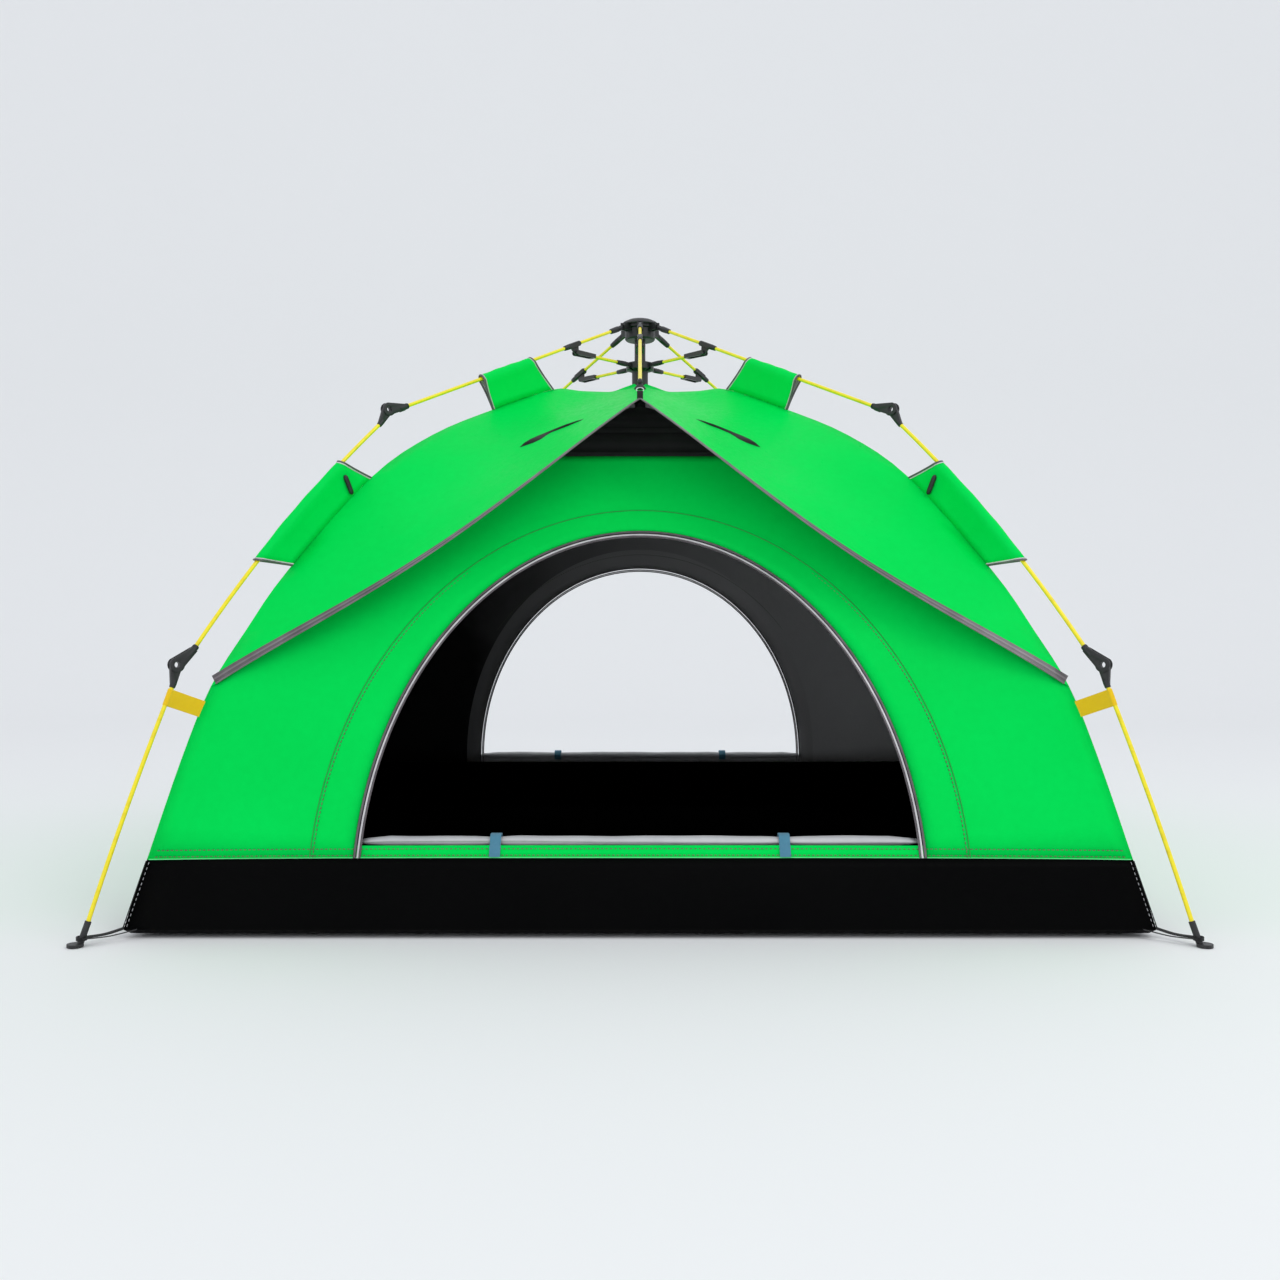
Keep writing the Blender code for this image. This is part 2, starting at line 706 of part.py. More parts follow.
def build_door_wall(side, azimuth):
    """One door panel with its mesh vent above and its rolled door below."""
    panel = cloth_object("door_panel_" + side, panel_rows(), GREEN_CLOTH)
    combine(panel, roof_cutter(), "DIFFERENCE")
    combine(panel, door_cutter(), "DIFFERENCE")
    turn_to(drop_offcuts(panel), azimuth)

    rows = []
    for j in range(4):
        z = 1.19 - (1.19 - PANEL_TOP_Z - 0.004) * j / 3
        rows.append([Vector((0.24 * k / 4, panel_plane_y(z), z)) for k in range(-4, 5)])
    vent = cloth_object("vent_mesh_" + side, rows, MESH_CLOTH)
    combine(vent, roof_cutter(), "DIFFERENCE")
    turn_to(drop_offcuts(vent), azimuth)

    roll = cylinder(1.0, (-ROLL_LENGTH / 2, 0.0, 0.0), (ROLL_LENGTH / 2, 0.0, 0.0), 14)
    roll.scale = (1.0, ROLL_RADIUS_Y, ROLL_RADIUS_Z)
    roll.location = (0.0, -ROLL_AT[0], ROLL_AT[1])
    apply_transform(roll)
    finish(shade(roll), "door_roll_" + side, SILVER_CLOTH)
    turn_to(roll, azimuth)


def build_floor():
    """The tub floor: flat on the ground, with its rim a little raised and a low wall."""
    wall_half = WALL_TOP_R / math.sqrt(2)
    rings = [(wall_half, WALL_TOP_Z), (FLOOR_HALF - 0.016, FLOOR_EDGE_Z + 0.065),
             (FLOOR_HALF, FLOOR_EDGE_Z), (FLOOR_HALF - 0.05, 0.0)]
    work = bmesh.new()
    corners = ((1, 1), (-1, 1), (-1, -1), (1, -1))
    loops = [[work.verts.new((h * x, h * y, z)) for x, y in corners] for h, z in rings]
    for upper, lower in zip(loops, loops[1:]):
        for i in range(4):
            k = (i + 1) % 4
            work.faces.new((upper[i], upper[k], lower[k], lower[i]))
    work.faces.new(loops[-1])
    bmesh.ops.recalc_face_normals(work, faces=work.faces)
    mesh = bpy.data.meshes.new("tub_floor")
    work.to_mesh(mesh)
    work.free()
    floor = bpy.data.objects.new("tub_floor", mesh)
    TENT.objects.link(floor)
    if floor.data.polygons[-1].normal.z > 0:
        floor.data.flip_normals()
    solid = floor.modifiers.new("cloth", "SOLIDIFY")
    solid.thickness = FABRIC
    solid.offset = -1.0
    solid.use_even_offset = True
    floor = as_mesh(floor)
    finish(floor, "tub_floor", BLACK_CLOTH)


def build_cloth():
    build_floor()
    for side, azimuth in (("front", 0.0), ("rear", 180.0)):
        cloth_object("canopy_" + side, awning_rows(), GREEN_CLOTH, azimuth)
        build_door_wall(side, azimuth)
    for side, azimuth in (("right", 0.0), ("left", 180.0)):
        cloth_object("side_wall_" + side, wall_rows(), GREEN_CLOTH, azimuth)


build_hub()
build_runner()
build_frame()
build_cloth()
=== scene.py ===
"""Looks of the pop-up tent: cloth, tapes, poles and fittings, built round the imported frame."""
import math

import bmesh
import bpy
from mathutils import Matrix, Vector


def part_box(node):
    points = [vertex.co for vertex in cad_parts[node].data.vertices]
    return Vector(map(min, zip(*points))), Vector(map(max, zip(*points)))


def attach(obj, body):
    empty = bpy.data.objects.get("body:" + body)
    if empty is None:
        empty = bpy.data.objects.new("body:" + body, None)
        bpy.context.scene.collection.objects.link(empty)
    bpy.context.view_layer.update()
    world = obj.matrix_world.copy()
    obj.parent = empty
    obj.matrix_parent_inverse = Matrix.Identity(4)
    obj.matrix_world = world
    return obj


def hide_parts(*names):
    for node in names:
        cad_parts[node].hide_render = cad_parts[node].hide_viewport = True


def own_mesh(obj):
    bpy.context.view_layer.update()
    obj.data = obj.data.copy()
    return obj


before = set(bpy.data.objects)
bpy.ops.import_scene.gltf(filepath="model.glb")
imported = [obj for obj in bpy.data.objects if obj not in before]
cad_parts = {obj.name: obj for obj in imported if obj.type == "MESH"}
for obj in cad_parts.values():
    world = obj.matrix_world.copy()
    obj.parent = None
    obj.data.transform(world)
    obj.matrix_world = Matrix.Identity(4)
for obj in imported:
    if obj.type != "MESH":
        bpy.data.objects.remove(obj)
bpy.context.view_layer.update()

ROOT = "floor_and_canopy"

# ---- places taken from the frame ------------------------------------------------------------
TUB_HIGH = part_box("tub_floor")[1]
FLOOR_HALF = TUB_HIGH.x
WALL_TOP_Z = TUB_HIGH.z
FLOOR_EDGE_Z = 0.0166
APEX_Z = 1.284
AWNING_TIP = Vector((0.0, -0.75, 1.0966))
PANEL_LEAN = 0.4128
PANEL_TOP_Z = 0.9956
DOOR_HALF, DOOR_BASE_Z, DOOR_TOP_Z = 0.565, 0.128, 0.8166
SILL_Z = 0.170
SEAM_HALF, SEAM_TOP_Z = 0.653, 0.8662
BAND_EDGE = 1.085               # how far the rear arch's paler band reaches, as a share of the arch
TIE_X = 0.288                   # the door ties' distance from the middle
SPAN = 8                        # smooth points between two points of the ridge

# corner ridge (distance from the hub's axis, height); the cloth dips round the runner
RIDGE = [(0.0165, 1.2843), (0.060, 1.2670), (0.107, 1.2485), (0.160, 1.2408), (0.239, 1.2318),
         (0.317, 1.2235), (0.506, 1.1480), (0.693, 1.0612), (0.860, 0.9450), (1.065, 0.7280),
         (1.161, 0.5990), (1.238, 0.4830), (1.300, 0.3380), (1.369, WALL_TOP_Z)]
AWNING_AT = 11.0                # where the awning's edge leaves the ridge
RIB_ROOT = (0.058, 1.4331)
UPPER_KNEE = (0.815, 1.1051)
LOWER_KNEE = (1.310, 0.5286)
FOOT = (1.505, 0.0)
KNEE_OFFSET = 0.0075
PIN_HOLE = 0.0062
RIB_PITCH = math.radians(23.95)
AWNING_PITCH = math.radians(23.7)
ROD_R = 0.00425
STRUT_Z = 1.3311
LEGS = {"front_right": -45.0, "rear_right": 45.0, "rear_left": 135.0, "front_left": 225.0}
AWNINGS = {"front": 0.0, "rear": 180.0}


# ---- node materials -------------------------------------------------------------------------
class Shader:
    """A small helper that wires one Principled material."""

    def __init__(self, name, roughness=0.6, metallic=0.0, specular=0.5):
        self.mat = bpy.data.materials.new(name)
        self.mat.use_nodes = True
        self.tree = self.mat.node_tree
        self.bsdf = self.tree.nodes["Principled BSDF"]
        self.bsdf.inputs["Specular IOR Level"].default_value = specular
        self.finish(roughness=roughness, metallic=metallic)
        self.coords = self.make("ShaderNodeTexCoord", "Object")

    def put(self, value, into):
        """Link a socket, or set a number, a vector or a colour."""
        if isinstance(value, bpy.types.NodeSocket):
            self.tree.links.new(value, into)
        else:
            into.default_value = (*value, 1.0) if into.type == "RGBA" else value

    def make(self, kind, out, inputs=(), **settings):
        """Add a node, set its own settings and then its inputs, and give one of its outputs."""
        made = self.tree.nodes.new(kind)
        for key, value in settings.items():
            setattr(made, key, value)
        for key, value in dict(inputs).items():
            self.put(value, made.inputs[key])
        return made.outputs[out]

    def finish(self, **inputs):
        """Fill the shader's inputs by name, such as coat_weight, and give the material."""
        for key, value in inputs.items():
            self.put(value, self.bsdf.inputs[key.replace("_", " ").title()])
        return self.mat

    def uv(self):
        """Cloth coordinates: metres along and across the sheet."""
        return self.make("ShaderNodeUVMap", "UV", uv_map="cloth")

    def noise(self, scale, detail=3.0, roughness=0.5, stretch=None):
        place = self.coords
        if stretch:
            place = self.make("ShaderNodeMapping", "Vector", {"Vector": place, "Scale": stretch})
        return self.make("ShaderNodeTexNoise", "Fac", {"Vector": place, "Scale": scale,
                                                       "Detail": detail, "Roughness": roughness})

    def wave(self, scale, direction, place):
        return self.make("ShaderNodeTexWave", "Fac", {"Vector": place, "Scale": scale, "Distortion": 0.0},
                         wave_type="BANDS", bands_direction=direction)

    def math(self, operation, a, b=None, clamp=False):
        return self.make("ShaderNodeMath", "Value", {0: a} if b is None else {0: a, 1: b},
                         operation=operation, use_clamp=clamp)

    def times(self, a, b):
        return self.math("MULTIPLY", a, b)

    def plus(self, a, b):
        return self.math("ADD", a, b)

    def hypot(self, a, b):
        return self.math("SQRT", self.plus(self.times(a, a), self.times(b, b)))

    def split(self):
        made = self.tree.nodes.new("ShaderNodeSeparateXYZ")
        self.put(self.coords, made.inputs["Vector"])
        return tuple(made.outputs)

    def mix(self, factor, a, b):
        return self.make("ShaderNodeMix", "Result", {"Factor": factor, "A": a, "B": b},
                         data_type="RGBA")

    def ramp(self, source, low, high):
        return self.make("ShaderNodeMapRange", "Result",
                         {"Value": source, "From Min": low, "From Max": high})

    def bump(self, height, strength, distance=0.001, below=None):
        inputs = {"Height": height, "Strength": strength, "Distance": distance}
        if below is not None:
            inputs["Normal"] = below
        return self.make("ShaderNodeBump", "Normal", inputs)


def cloth_material(name, color, shade, roughness, weave_depth=0.25, crease=0.35, specular=0.35):
    """Coated plain-weave cloth: fine threads, soft creases and a slightly uneven dye."""
    s = Shader(name, roughness, specular=specular)
    uv = s.uv()
    threads = s.times(s.wave(WEAVE, "X", uv), s.wave(WEAVE, "Y", uv))
    tone = s.plus(s.times(s.noise(3.0, 4.0), 0.7), s.times(s.noise(60.0), 0.3))
    dyed = s.mix(s.ramp(tone, 0.30, 0.72), shade, color)
    folds = s.plus(s.noise(7.0, 2.0, 0.4), s.times(s.noise(38.0), 0.16))
    crumple = s.bump(folds, crease, 0.02)
    return s.finish(base_color=s.mix(s.times(threads, 0.10), dyed, shade),
                    normal=s.bump(threads, weave_depth, 0.0003, crumple),
                    roughness=s.ramp(s.noise(90.0, 2.0), -1.2 + roughness, 1.9),
                    sheen_weight=0.0, sheen_roughness=0.4)


def painted_light_lining_material(name):
    """Inner coating of the rear panel, with painted light and shade: near black on its shaded side and lit
    grey towards the other, paler in a band round the arch.
    """
    s = Shader(name, 0.6, specular=0.1)
    x, _, z = s.split()
    wide = s.math("DIVIDE", x, DOOR_HALF)
    tall = s.math("DIVIDE", s.math("SUBTRACT", z, DOOR_BASE_Z), DOOR_TOP_Z - DOOR_BASE_Z)
    # tone: painted shade on one side and painted light on the other, near black to lit grey across x, with a
    # little random unevenness
    tone = s.mix(s.ramp(s.plus(x, s.times(s.noise(5.0), 0.2)), -0.5, 0.85),
                 (0.010, 0.010, 0.010), (0.62, 0.62, 0.62))
    # band: the paler band round the arch, with the same painted light and shade across x
    band = s.mix(s.ramp(x, -0.8, 0.3), (0.10, 0.10, 0.10), (0.50, 0.50, 0.50))
    return s.finish(base_color=s.mix(s.math("LESS_THAN", s.hypot(wide, tall), BAND_EDGE), tone, band),
                    normal=s.bump(s.noise(30.0), 0.2, 0.004))


def webbing_material(name, color, shade):
    """Narrow woven tape: raised ribs across it and a herringbone of thread tones."""
    s = Shader(name, 0.7, specular=0.3)
    uv = s.uv()
    ribs, cross = s.wave(RIB_WEAVE, "X", uv), s.wave(RIB_WEAVE * 1.7, "DIAGONAL", uv)
    wear = s.noise(140.0)
    tone = s.plus(s.plus(s.times(ribs, 0.5), s.times(cross, 0.3)), wear)
    return s.finish(base_color=s.mix(s.math("MULTIPLY", tone, 0.45, True), color, shade),
                    normal=s.bump(s.plus(ribs, s.times(wear, 0.4)), 0.5, 0.0006),
                    sheen_weight=0.2)


def plastic_material(name, color, worn, roughness=0.42):
    """Moulded nylon: fine spark-eroded grain, slightly paler where it is handled."""
    s = Shader(name, roughness)
    smear = s.noise(45.0, 4.0)
    return s.finish(base_color=s.mix(s.ramp(smear, 0.45, 0.75), color, worn),
                    roughness=s.ramp(smear, -0.55, 1.6),
                    normal=s.bump(s.noise(1400.0, 2.0), 0.18, 0.0003),
                    coat_weight=0.12, coat_roughness=0.35)


def rod_material(name, color, shade, black=None, inner=0.0, outer=9.0):
    """Painted glass-fibre rod: long faint drawing streaks; the sockets at its ends are black."""
    s = Shader(name, 0.28, specular=0.55)
    streak = s.noise(260.0, 3.0, 0.6, (1.0, 1.0, 0.08))
    scuff = s.noise(55.0, 4.0, 0.6)
    paint = s.mix(s.ramp(scuff, 0.5, 0.8), color, shade)
    paint = s.mix(s.times(streak, 0.22), paint, shade)
    if black:
        out = s.hypot(*s.split()[:2])
        rod_here = s.times(s.math("GREATER_THAN", out, inner), s.math("LESS_THAN", out, outer))
        paint = s.mix(rod_here, black, paint)
    return s.finish(base_color=paint, roughness=s.ramp(scuff, -0.35, 2.0),
                    normal=s.bump(streak, 0.08, 0.0004), coat_weight=0.25, coat_roughness=0.18)


def mesh_material(name):
    """Insect netting: a fine square grid of black threads over a darker ground."""
    s = Shader(name, 0.8, specular=0.25)
    uv = s.uv()
    grid = s.math("MAXIMUM", s.wave(NET, "X", uv), s.wave(NET, "Y", uv))
    threads = s.times(grid, s.noise(9.0, 2.0))
    return s.finish(base_color=s.mix(threads, (0.002, 0.002, 0.002), (0.022, 0.022, 0.023)),
                    normal=s.bump(grid, 0.4, 0.0004), sheen_weight=0.1)


def piping_material(name, core, edge):
    """Reflective tape round a cord: a grey face with a fine bead grain, patchy between a paler and a darker
    grey.
    """
    s = Shader(name, 0.38, specular=0.6)
    return s.finish(base_color=s.mix(s.ramp(s.noise(24.0), 0.35, 0.7), edge, core),
                    normal=s.bump(s.noise(900.0, 2.0), 0.25, 0.0003), coat_weight=0.2)


def metal_material(name, color, roughness):
    """Brushed metal."""
    s = Shader(name, roughness, metallic=1.0)
    brush = s.noise(500.0, 3.0, 0.6)
    dark = tuple(c * 0.6 for c in color)
    return s.finish(base_color=s.mix(s.times(brush, 0.35), color, dark),
                    roughness=s.ramp(brush, -0.4, 2.2), normal=s.bump(brush, 0.06, 0.0002))


WEAVE, RIB_WEAVE, NET = 1500.0, 420.0, 700.0     # threads' wave scales, over metres of cloth
GREEN = cloth_material("green_cloth", (0.000, 0.770, 0.098), (0.000, 0.690, 0.082), 0.85,
                       crease=0.10, specular=0.03)
BLACK = cloth_material("black_floor_cloth", (0.0024, 0.0024, 0.0025), (0.0014, 0.0014, 0.0015),
                       0.8, crease=0.12, specular=0.02)
SILVER = cloth_material("silver_coating", (0.60, 0.60, 0.61), (0.48, 0.48, 0.50), 0.48,
                        weave_depth=0.12, crease=0.25, specular=0.5)
NETTING = mesh_material("insect_netting")
# Inner face of the rear door panel: silver coating with painted light and shade across it
LIT_AND_SHADED_LINING = painted_light_lining_material("door_lining_painted_light")
YELLOW_WEB = webbing_material("yellow_webbing", (1.0, 0.66, 0.0), (0.90, 0.54, 0.0))
BLACK_WEB = webbing_material("black_webbing", (0.012, 0.012, 0.013), (0.003, 0.003, 0.003))
BLUE_WEB = webbing_material("blue_webbing", (0.095, 0.300, 0.430), (0.055, 0.200, 0.310))
# A darker copy of the black floor cloth for the tub's inside: painted shade inside the tent.
SHADED_FLOOR_INSIDE = cloth_material("floor_inside_painted_shade", (0.0009, 0.0009, 0.001), (0.0006, 0.0006, 0.0006),
                              0.9, crease=0.1, specular=0.0)
PIPE_GREY = piping_material("grey_piping", (0.125, 0.108, 0.118), (0.072, 0.060, 0.067))
PIPE_EDGE = piping_material("mid_grey_piping", (0.21, 0.18, 0.20), (0.14, 0.12, 0.13))
PIPE_WHITE = piping_material("pale_piping", (0.74, 0.72, 0.73), (0.52, 0.50, 0.52))
THREAD = plastic_material("sewing_thread", (0.090, 0.115, 0.070), (0.14, 0.17, 0.10), 0.7)
PALE_GREEN = plastic_material("pale_green_edge", (0.10, 0.88, 0.26), (0.16, 0.90, 0.32), 0.8)
PALE_THREAD = plastic_material("pale_thread", (0.30, 0.30, 0.31), (0.42, 0.42, 0.44), 0.7)
# Dark green for the door's curved seam: painted shade in the seam's fold.
SEAM_SHADOW = plastic_material("seam_shadow", (0.0, 0.30, 0.035), (0.0, 0.36, 0.045), 0.8)
PLASTIC = plastic_material("black_nylon", (0.010, 0.010, 0.011), (0.024, 0.024, 0.025))
YELLOW, YELLOW_WORN, SOCKET = (1.0, 0.84, 0.0), (0.80, 0.60, 0.0), (0.012, 0.012, 0.013)
ROD = rod_material("yellow_rod", YELLOW, YELLOW_WORN)
RIB = rod_material("yellow_rib", YELLOW, YELLOW_WORN, SOCKET, inner=0.111)
STRUT = rod_material("yellow_strut", YELLOW, YELLOW_WORN, SOCKET, inner=0.089, outer=0.1745)
STEEL = metal_material("ring_steel", (0.75, 0.76, 0.78), 0.25)


# ---- mesh helpers ---------------------------------------------------------------------------
def new_object(name, work, materials):
    """An object from a bmesh, smooth-shaded."""
    mesh = bpy.data.meshes.new(name)
    work.to_mesh(mesh)
    work.free()
    for mat in materials:
        mesh.materials.append(mat)
    obj = bpy.data.objects.new(name, mesh)
    bpy.context.scene.collection.objects.link(obj)
    mesh.shade_smooth()
    mesh.set_sharp_from_angle(angle=math.radians(40))
    return obj


def bridge(work, rings, layer, uv, ends=True):
    """Join closed rings of vertices into a tube; uv gives a corner's place from its ring and step."""
    count = len(rings[0])
    for j in range(len(rings) - 1):
        for i in range(count):
            k = (i + 1) % count
            face = work.faces.new((rings[j][i], rings[j][k], rings[j + 1][k], rings[j + 1][i]))
            for loop, (r, c) in zip(face.loops, ((j, i), (j, i + 1), (j + 1, i + 1), (j + 1, i))):
                loop[layer].uv = uv(r, c)
    if ends:
        work.faces.new(list(reversed(rings[0])))
        work.faces.new(rings[-1])
    bmesh.ops.recalc_face_normals(work, faces=work.faces)


def distances(points):
    """Length along a path at each of its points."""
    out = [0.0]
    for a, b in zip(points, points[1:]):
        out.append(out[-1] + (b - a).length)
    return out


def new_work(rows=()):
    """A bmesh with cloth coordinates, and its vertices in the rows given."""
    work = bmesh.new()
    layer = work.loops.layers.uv.new("cloth")
    return work, layer, [[work.verts.new(p) for p in row] for row in rows]


def baked(obj):
    """Apply an object's modifiers to its mesh."""
    bpy.context.view_layer.update()
    graph = bpy.context.evaluated_depsgraph_get()
    mesh = bpy.data.meshes.new_from_object(obj.evaluated_get(graph), preserve_all_data_layers=True,
                                           depsgraph=graph)
    obj.modifiers.clear()
    obj.data = mesh
    return obj


def grid_cloth(name, rows, outside, inside=None, outward=None, thickness=0.0008, sharp=60.0):
    """Cloth from rows of points, thickened away from outward, with metres of cloth as its UVs."""
    work, layer, grid = new_work(rows)
    across = []
    for places in map(distances, rows):
        across.append([p - places[-1] / 2 for p in places])
    middle = len(rows[0]) // 2
    down = distances([row[middle] for row in rows])
    for j in range(len(rows) - 1):
        for i in range(len(rows[0]) - 1):
            where = ((j, i), (j + 1, i), (j + 1, i + 1), (j, i + 1))
            corners = [grid[r][c] for r, c in where]
            if (corners[0].co - corners[3].co).length < 1e-7:
                corners, where = corners[:3], where[:3]
            face = work.faces.new(corners)
            for loop, (r, c) in zip(face.loops, where):
                loop[layer].uv = (across[r][c], down[r])
    work.normal_update()
    if outward and sum((f.normal * f.calc_area() for f in work.faces), Vector()).dot(outward) < 0:
        bmesh.ops.reverse_faces(work, faces=work.faces)
    obj = new_object(name, work, [outside] + ([inside] if inside else []))
    obj.data.set_sharp_from_angle(angle=math.radians(sharp))
    thicken(obj, thickness, inside)
    return obj


def thicken(obj, thickness, inside=None):
    solid = obj.modifiers.new("cloth", "SOLIDIFY")
    solid.thickness = thickness
    solid.offset = -1.0
    if inside:
        solid.material_offset = 1
    return baked(obj)


def frames_along(points):
    """A travelling pair of side directions at each point of a path."""
    tangents = []
    for i, p in enumerate(points):
        a = points[max(0, i - 1)]
        b = points[min(len(points) - 1, i + 1)]
        tangents.append((b - a).normalized())
    first = Vector((0, 0, 1)) if abs(tangents[0].z) < 0.9 else Vector((1, 0, 0))
    side = tangents[0].cross(first).normalized()
    out = []
    for t in tangents:
        side = (side - t * side.dot(t)).normalized()
        out.append((t, side, t.cross(side).normalized()))
    return out


def swept(name, points, sections, mat):
    """A closed sweep: sections gives, for each point, the outline in its two side directions."""
    work = bmesh.new()
    layer = work.loops.layers.uv.new("cloth")
    along, count = distances(points), len(sections[0])
    rings = [[work.verts.new(p + side * x + up * y) for x, y in section]
             for p, (_, side, up), section in zip(points, frames_along(points), sections)]
    bridge(work, rings, layer, lambda r, c: (along[r], c / count * 0.03))
    return new_object(name, work, [mat])


def turns(sides, closed=False):
    """Angles evenly round a circle, with the first again at the end if closed."""
    return [2 * math.pi * i / sides for i in range(sides + closed)]


def circle(radius, sides=12):
    return [(radius * math.cos(a), radius * math.sin(a)) for a in turns(sides)]


def tube(name, points, radius, mat, sides=12):
    """A round cord or rod; radius may be one number or one for each point."""
    radii = radius if isinstance(radius, (list, tuple)) else [radius] * len(points)
    return swept(name, points, [circle(r, sides) for r in radii], mat)


def strap(name, points, across, width, thickness, mat):
    """Flat webbing along points, its width in the direction across."""
    half, deep = width / 2, thickness / 2
    lip = min(0.0012, half * 0.3)
    outline = [(-half, -deep * 0.5), (-half + lip, -deep), (half - lip, -deep), (half, -deep * 0.5),
               (half, deep * 0.5), (half - lip, deep), (-half + lip, deep), (-half, deep * 0.5)]
    work = bmesh.new()
    layer = work.loops.layers.uv.new("cloth")
    rings, along = [], distances(points)
    for i, p in enumerate(points):
        t = (points[min(len(points) - 1, i + 1)] - points[max(0, i - 1)]).normalized()
        wide = (across - t * across.dot(t)).normalized()
        up = t.cross(wide)
        rings.append([work.verts.new(p + wide * x + up * y) for x, y in outline])
    bridge(work, rings, layer, lambda r, c: (along[r], outline[c % len(outline)][0]))
    return new_object(name, work, [mat])


def resampled(points, step):
    """Points at an even spacing along a path."""
    lengths = distances(points)
    count = max(2, round(lengths[-1] / step))
    out, j = [], 0
    for i in range(count + 1):
        goal = lengths[-1] * i / count
        while j < len(points) - 2 and lengths[j + 1] < goal:
            j += 1
        share = (goal - lengths[j]) / max(1e-9, lengths[j + 1] - lengths[j])
        out.append(points[j].lerp(points[j + 1], share))
    return out


def stitches(name, points, outward, mat, pitch=0.0088, length=0.0062, width=0.0019):
    """A row of sewn stitches: short rounded bars that lie on the cloth."""
    spots = resampled(points, pitch)
    work = bmesh.new()
    for i in range(len(spots) - 1):
        a, b = spots[i], spots[i + 1]
        t = (b - a).normalized()
        n = outward(a.lerp(b, 0.5)) if callable(outward) else outward
        n = (n - t * n.dot(t)).normalized()
        w = t.cross(n)
        middle = a.lerp(b, 0.5)
        ring = []
        for s, tall, wide in ((-0.5, 0.1, 0.3), (-0.3, 1.0, 1.0), (0.3, 1.0, 1.0), (0.5, 0.1, 0.3)):
            base = middle + t * length * s
            ring.append([work.verts.new(base + w * width / 2 * wide * x + n * width * 0.55 * tall * z)
                         for x, z in ((-1, -0.5), (1, -0.5), (0.6, 1), (-0.6, 1))])
        for p, q in zip(ring, ring[1:]):
            for k in range(4):
                m = (k + 1) % 4
                work.faces.new((p[k], p[m], q[m], q[k]))
        work.faces.new(list(reversed(ring[0])))
        work.faces.new(ring[-1])
    bmesh.ops.recalc_face_normals(work, faces=work.faces)
    return new_object(name, work, [mat])


def smooth_path(points, step=6):
    """A Catmull-Rom path through points."""
    out = []
    last = len(points) - 1
    for i in range(last):
        p = [points[max(0, min(last, k))] for k in (i - 1, i, i + 1, i + 2)]
        for j in range(step):
            f = j / step
            out.append((2 * p[1] + (p[2] - p[0]) * f + (2 * p[0] - 5 * p[1] + 4 * p[2] - p[3]) * f * f
                        + (-p[0] + 3 * p[1] - 3 * p[2] + p[3]) * f ** 3) / 2)
    out.append(points[-1].copy())
    return out


def turned_about_hub(obj, azimuth):
    obj.data.transform(Matrix.Rotation(math.radians(azimuth), 4, "Z"))
    return obj


def soft(obj, slot, azimuth=0.0):
    """Cloth or tape that goes down with the canopy."""
    if azimuth:
        turned_about_hub(obj, azimuth)
    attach(obj, ROOT)
    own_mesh(obj)
    return obj


def firm(obj, body, azimuth=0.0):
    """A hard piece on one of the frame's bodies."""
    if azimuth:
        turned_about_hub(obj, azimuth)
    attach(obj, body)
    return obj


# ---- shape of the cloth ---------------------------------------------------------------------
RIDGE_CURVE = smooth_path([Vector((r, z, 0.0)) for r, z in RIDGE], SPAN)


def ridge_at(t):
    """(r, z) on the corner ridge; t counts the RIDGE points."""
    where = max(0.0, min(t * SPAN, len(RIDGE_CURVE) - 1.000001))
    i = int(where)
    p = RIDGE_CURVE[i].lerp(RIDGE_CURVE[i + 1], where - i)
    return p.x, p.y


def ridge_x(z):
    """Distance of the ridge from the middle plane at a height."""
    low, high = 0.0, float(len(RIDGE) - 1)
    for _ in range(26):
        middle = (low + high) / 2
        if ridge_at(middle)[1] > z:
            low = middle
        else:
            high = middle
    return ridge_at(low)[0] / math.sqrt(2)


def panel_y(x, z):
    """The door panel leans in, and is drawn out to the corner ridges at its sides."""
    plane = -(FLOOR_HALF - PANEL_LEAN * (z - FLOOR_EDGE_Z))
    half = ridge_x(z)
    pull = min(1.0, abs(x) / half) ** 3
    return plane * (1 - pull) - half * pull


def on_panel(x, z, proud=0.0):
    return Vector((x, panel_y(x, z) - proud, z))


def awning_row(t, count=28):
    """One line of cloth across the front roof, from the left ridge to the right."""
    r, z = ridge_at(t)
    share = r / ridge_at(AWNING_AT)[0]
    corner = Vector((r / math.sqrt(2), -r / math.sqrt(2), z))
    centre = Vector((0.0, AWNING_TIP.y * share, APEX_Z + (AWNING_TIP.z - APEX_Z) * share))
    row = []
    for k in range(-count // 2, count // 2 + 1):
        u = k / (count / 2)
        p = centre.lerp(Vector((math.copysign(corner.x, u), corner.y, corner.z)), abs(u))
        wing = math.sin(math.pi * abs(u))
        p.z -= 0.030 * share ** 2 * wing ** 1.6 + 0.016 * wing * math.sin(math.pi * share)
        row.append(p)
    return row


def wall_row(t, count=20):
    """One line across a side wall, from its front ridge to its rear ridge, drawn in between."""
    r, z = ridge_at(t)
    x = r / math.sqrt(2)
    share = t / (len(RIDGE) - 1)
    tilt = share * math.pi / 2
    depth = 0.045 * math.sin(math.pi * share)
    row = []
    for k in range(count + 1):
        u = k / count
        sag = depth * 4 * u * (1 - u)
        row.append(Vector((x - sag * math.sin(tilt), x * (2 * u - 1), z - sag * math.cos(tilt))))
    return row


def steps(start, end, size):
    count = round((end - start) / size)
    return [start + (end - start) * i / count for i in range(count + 1)]


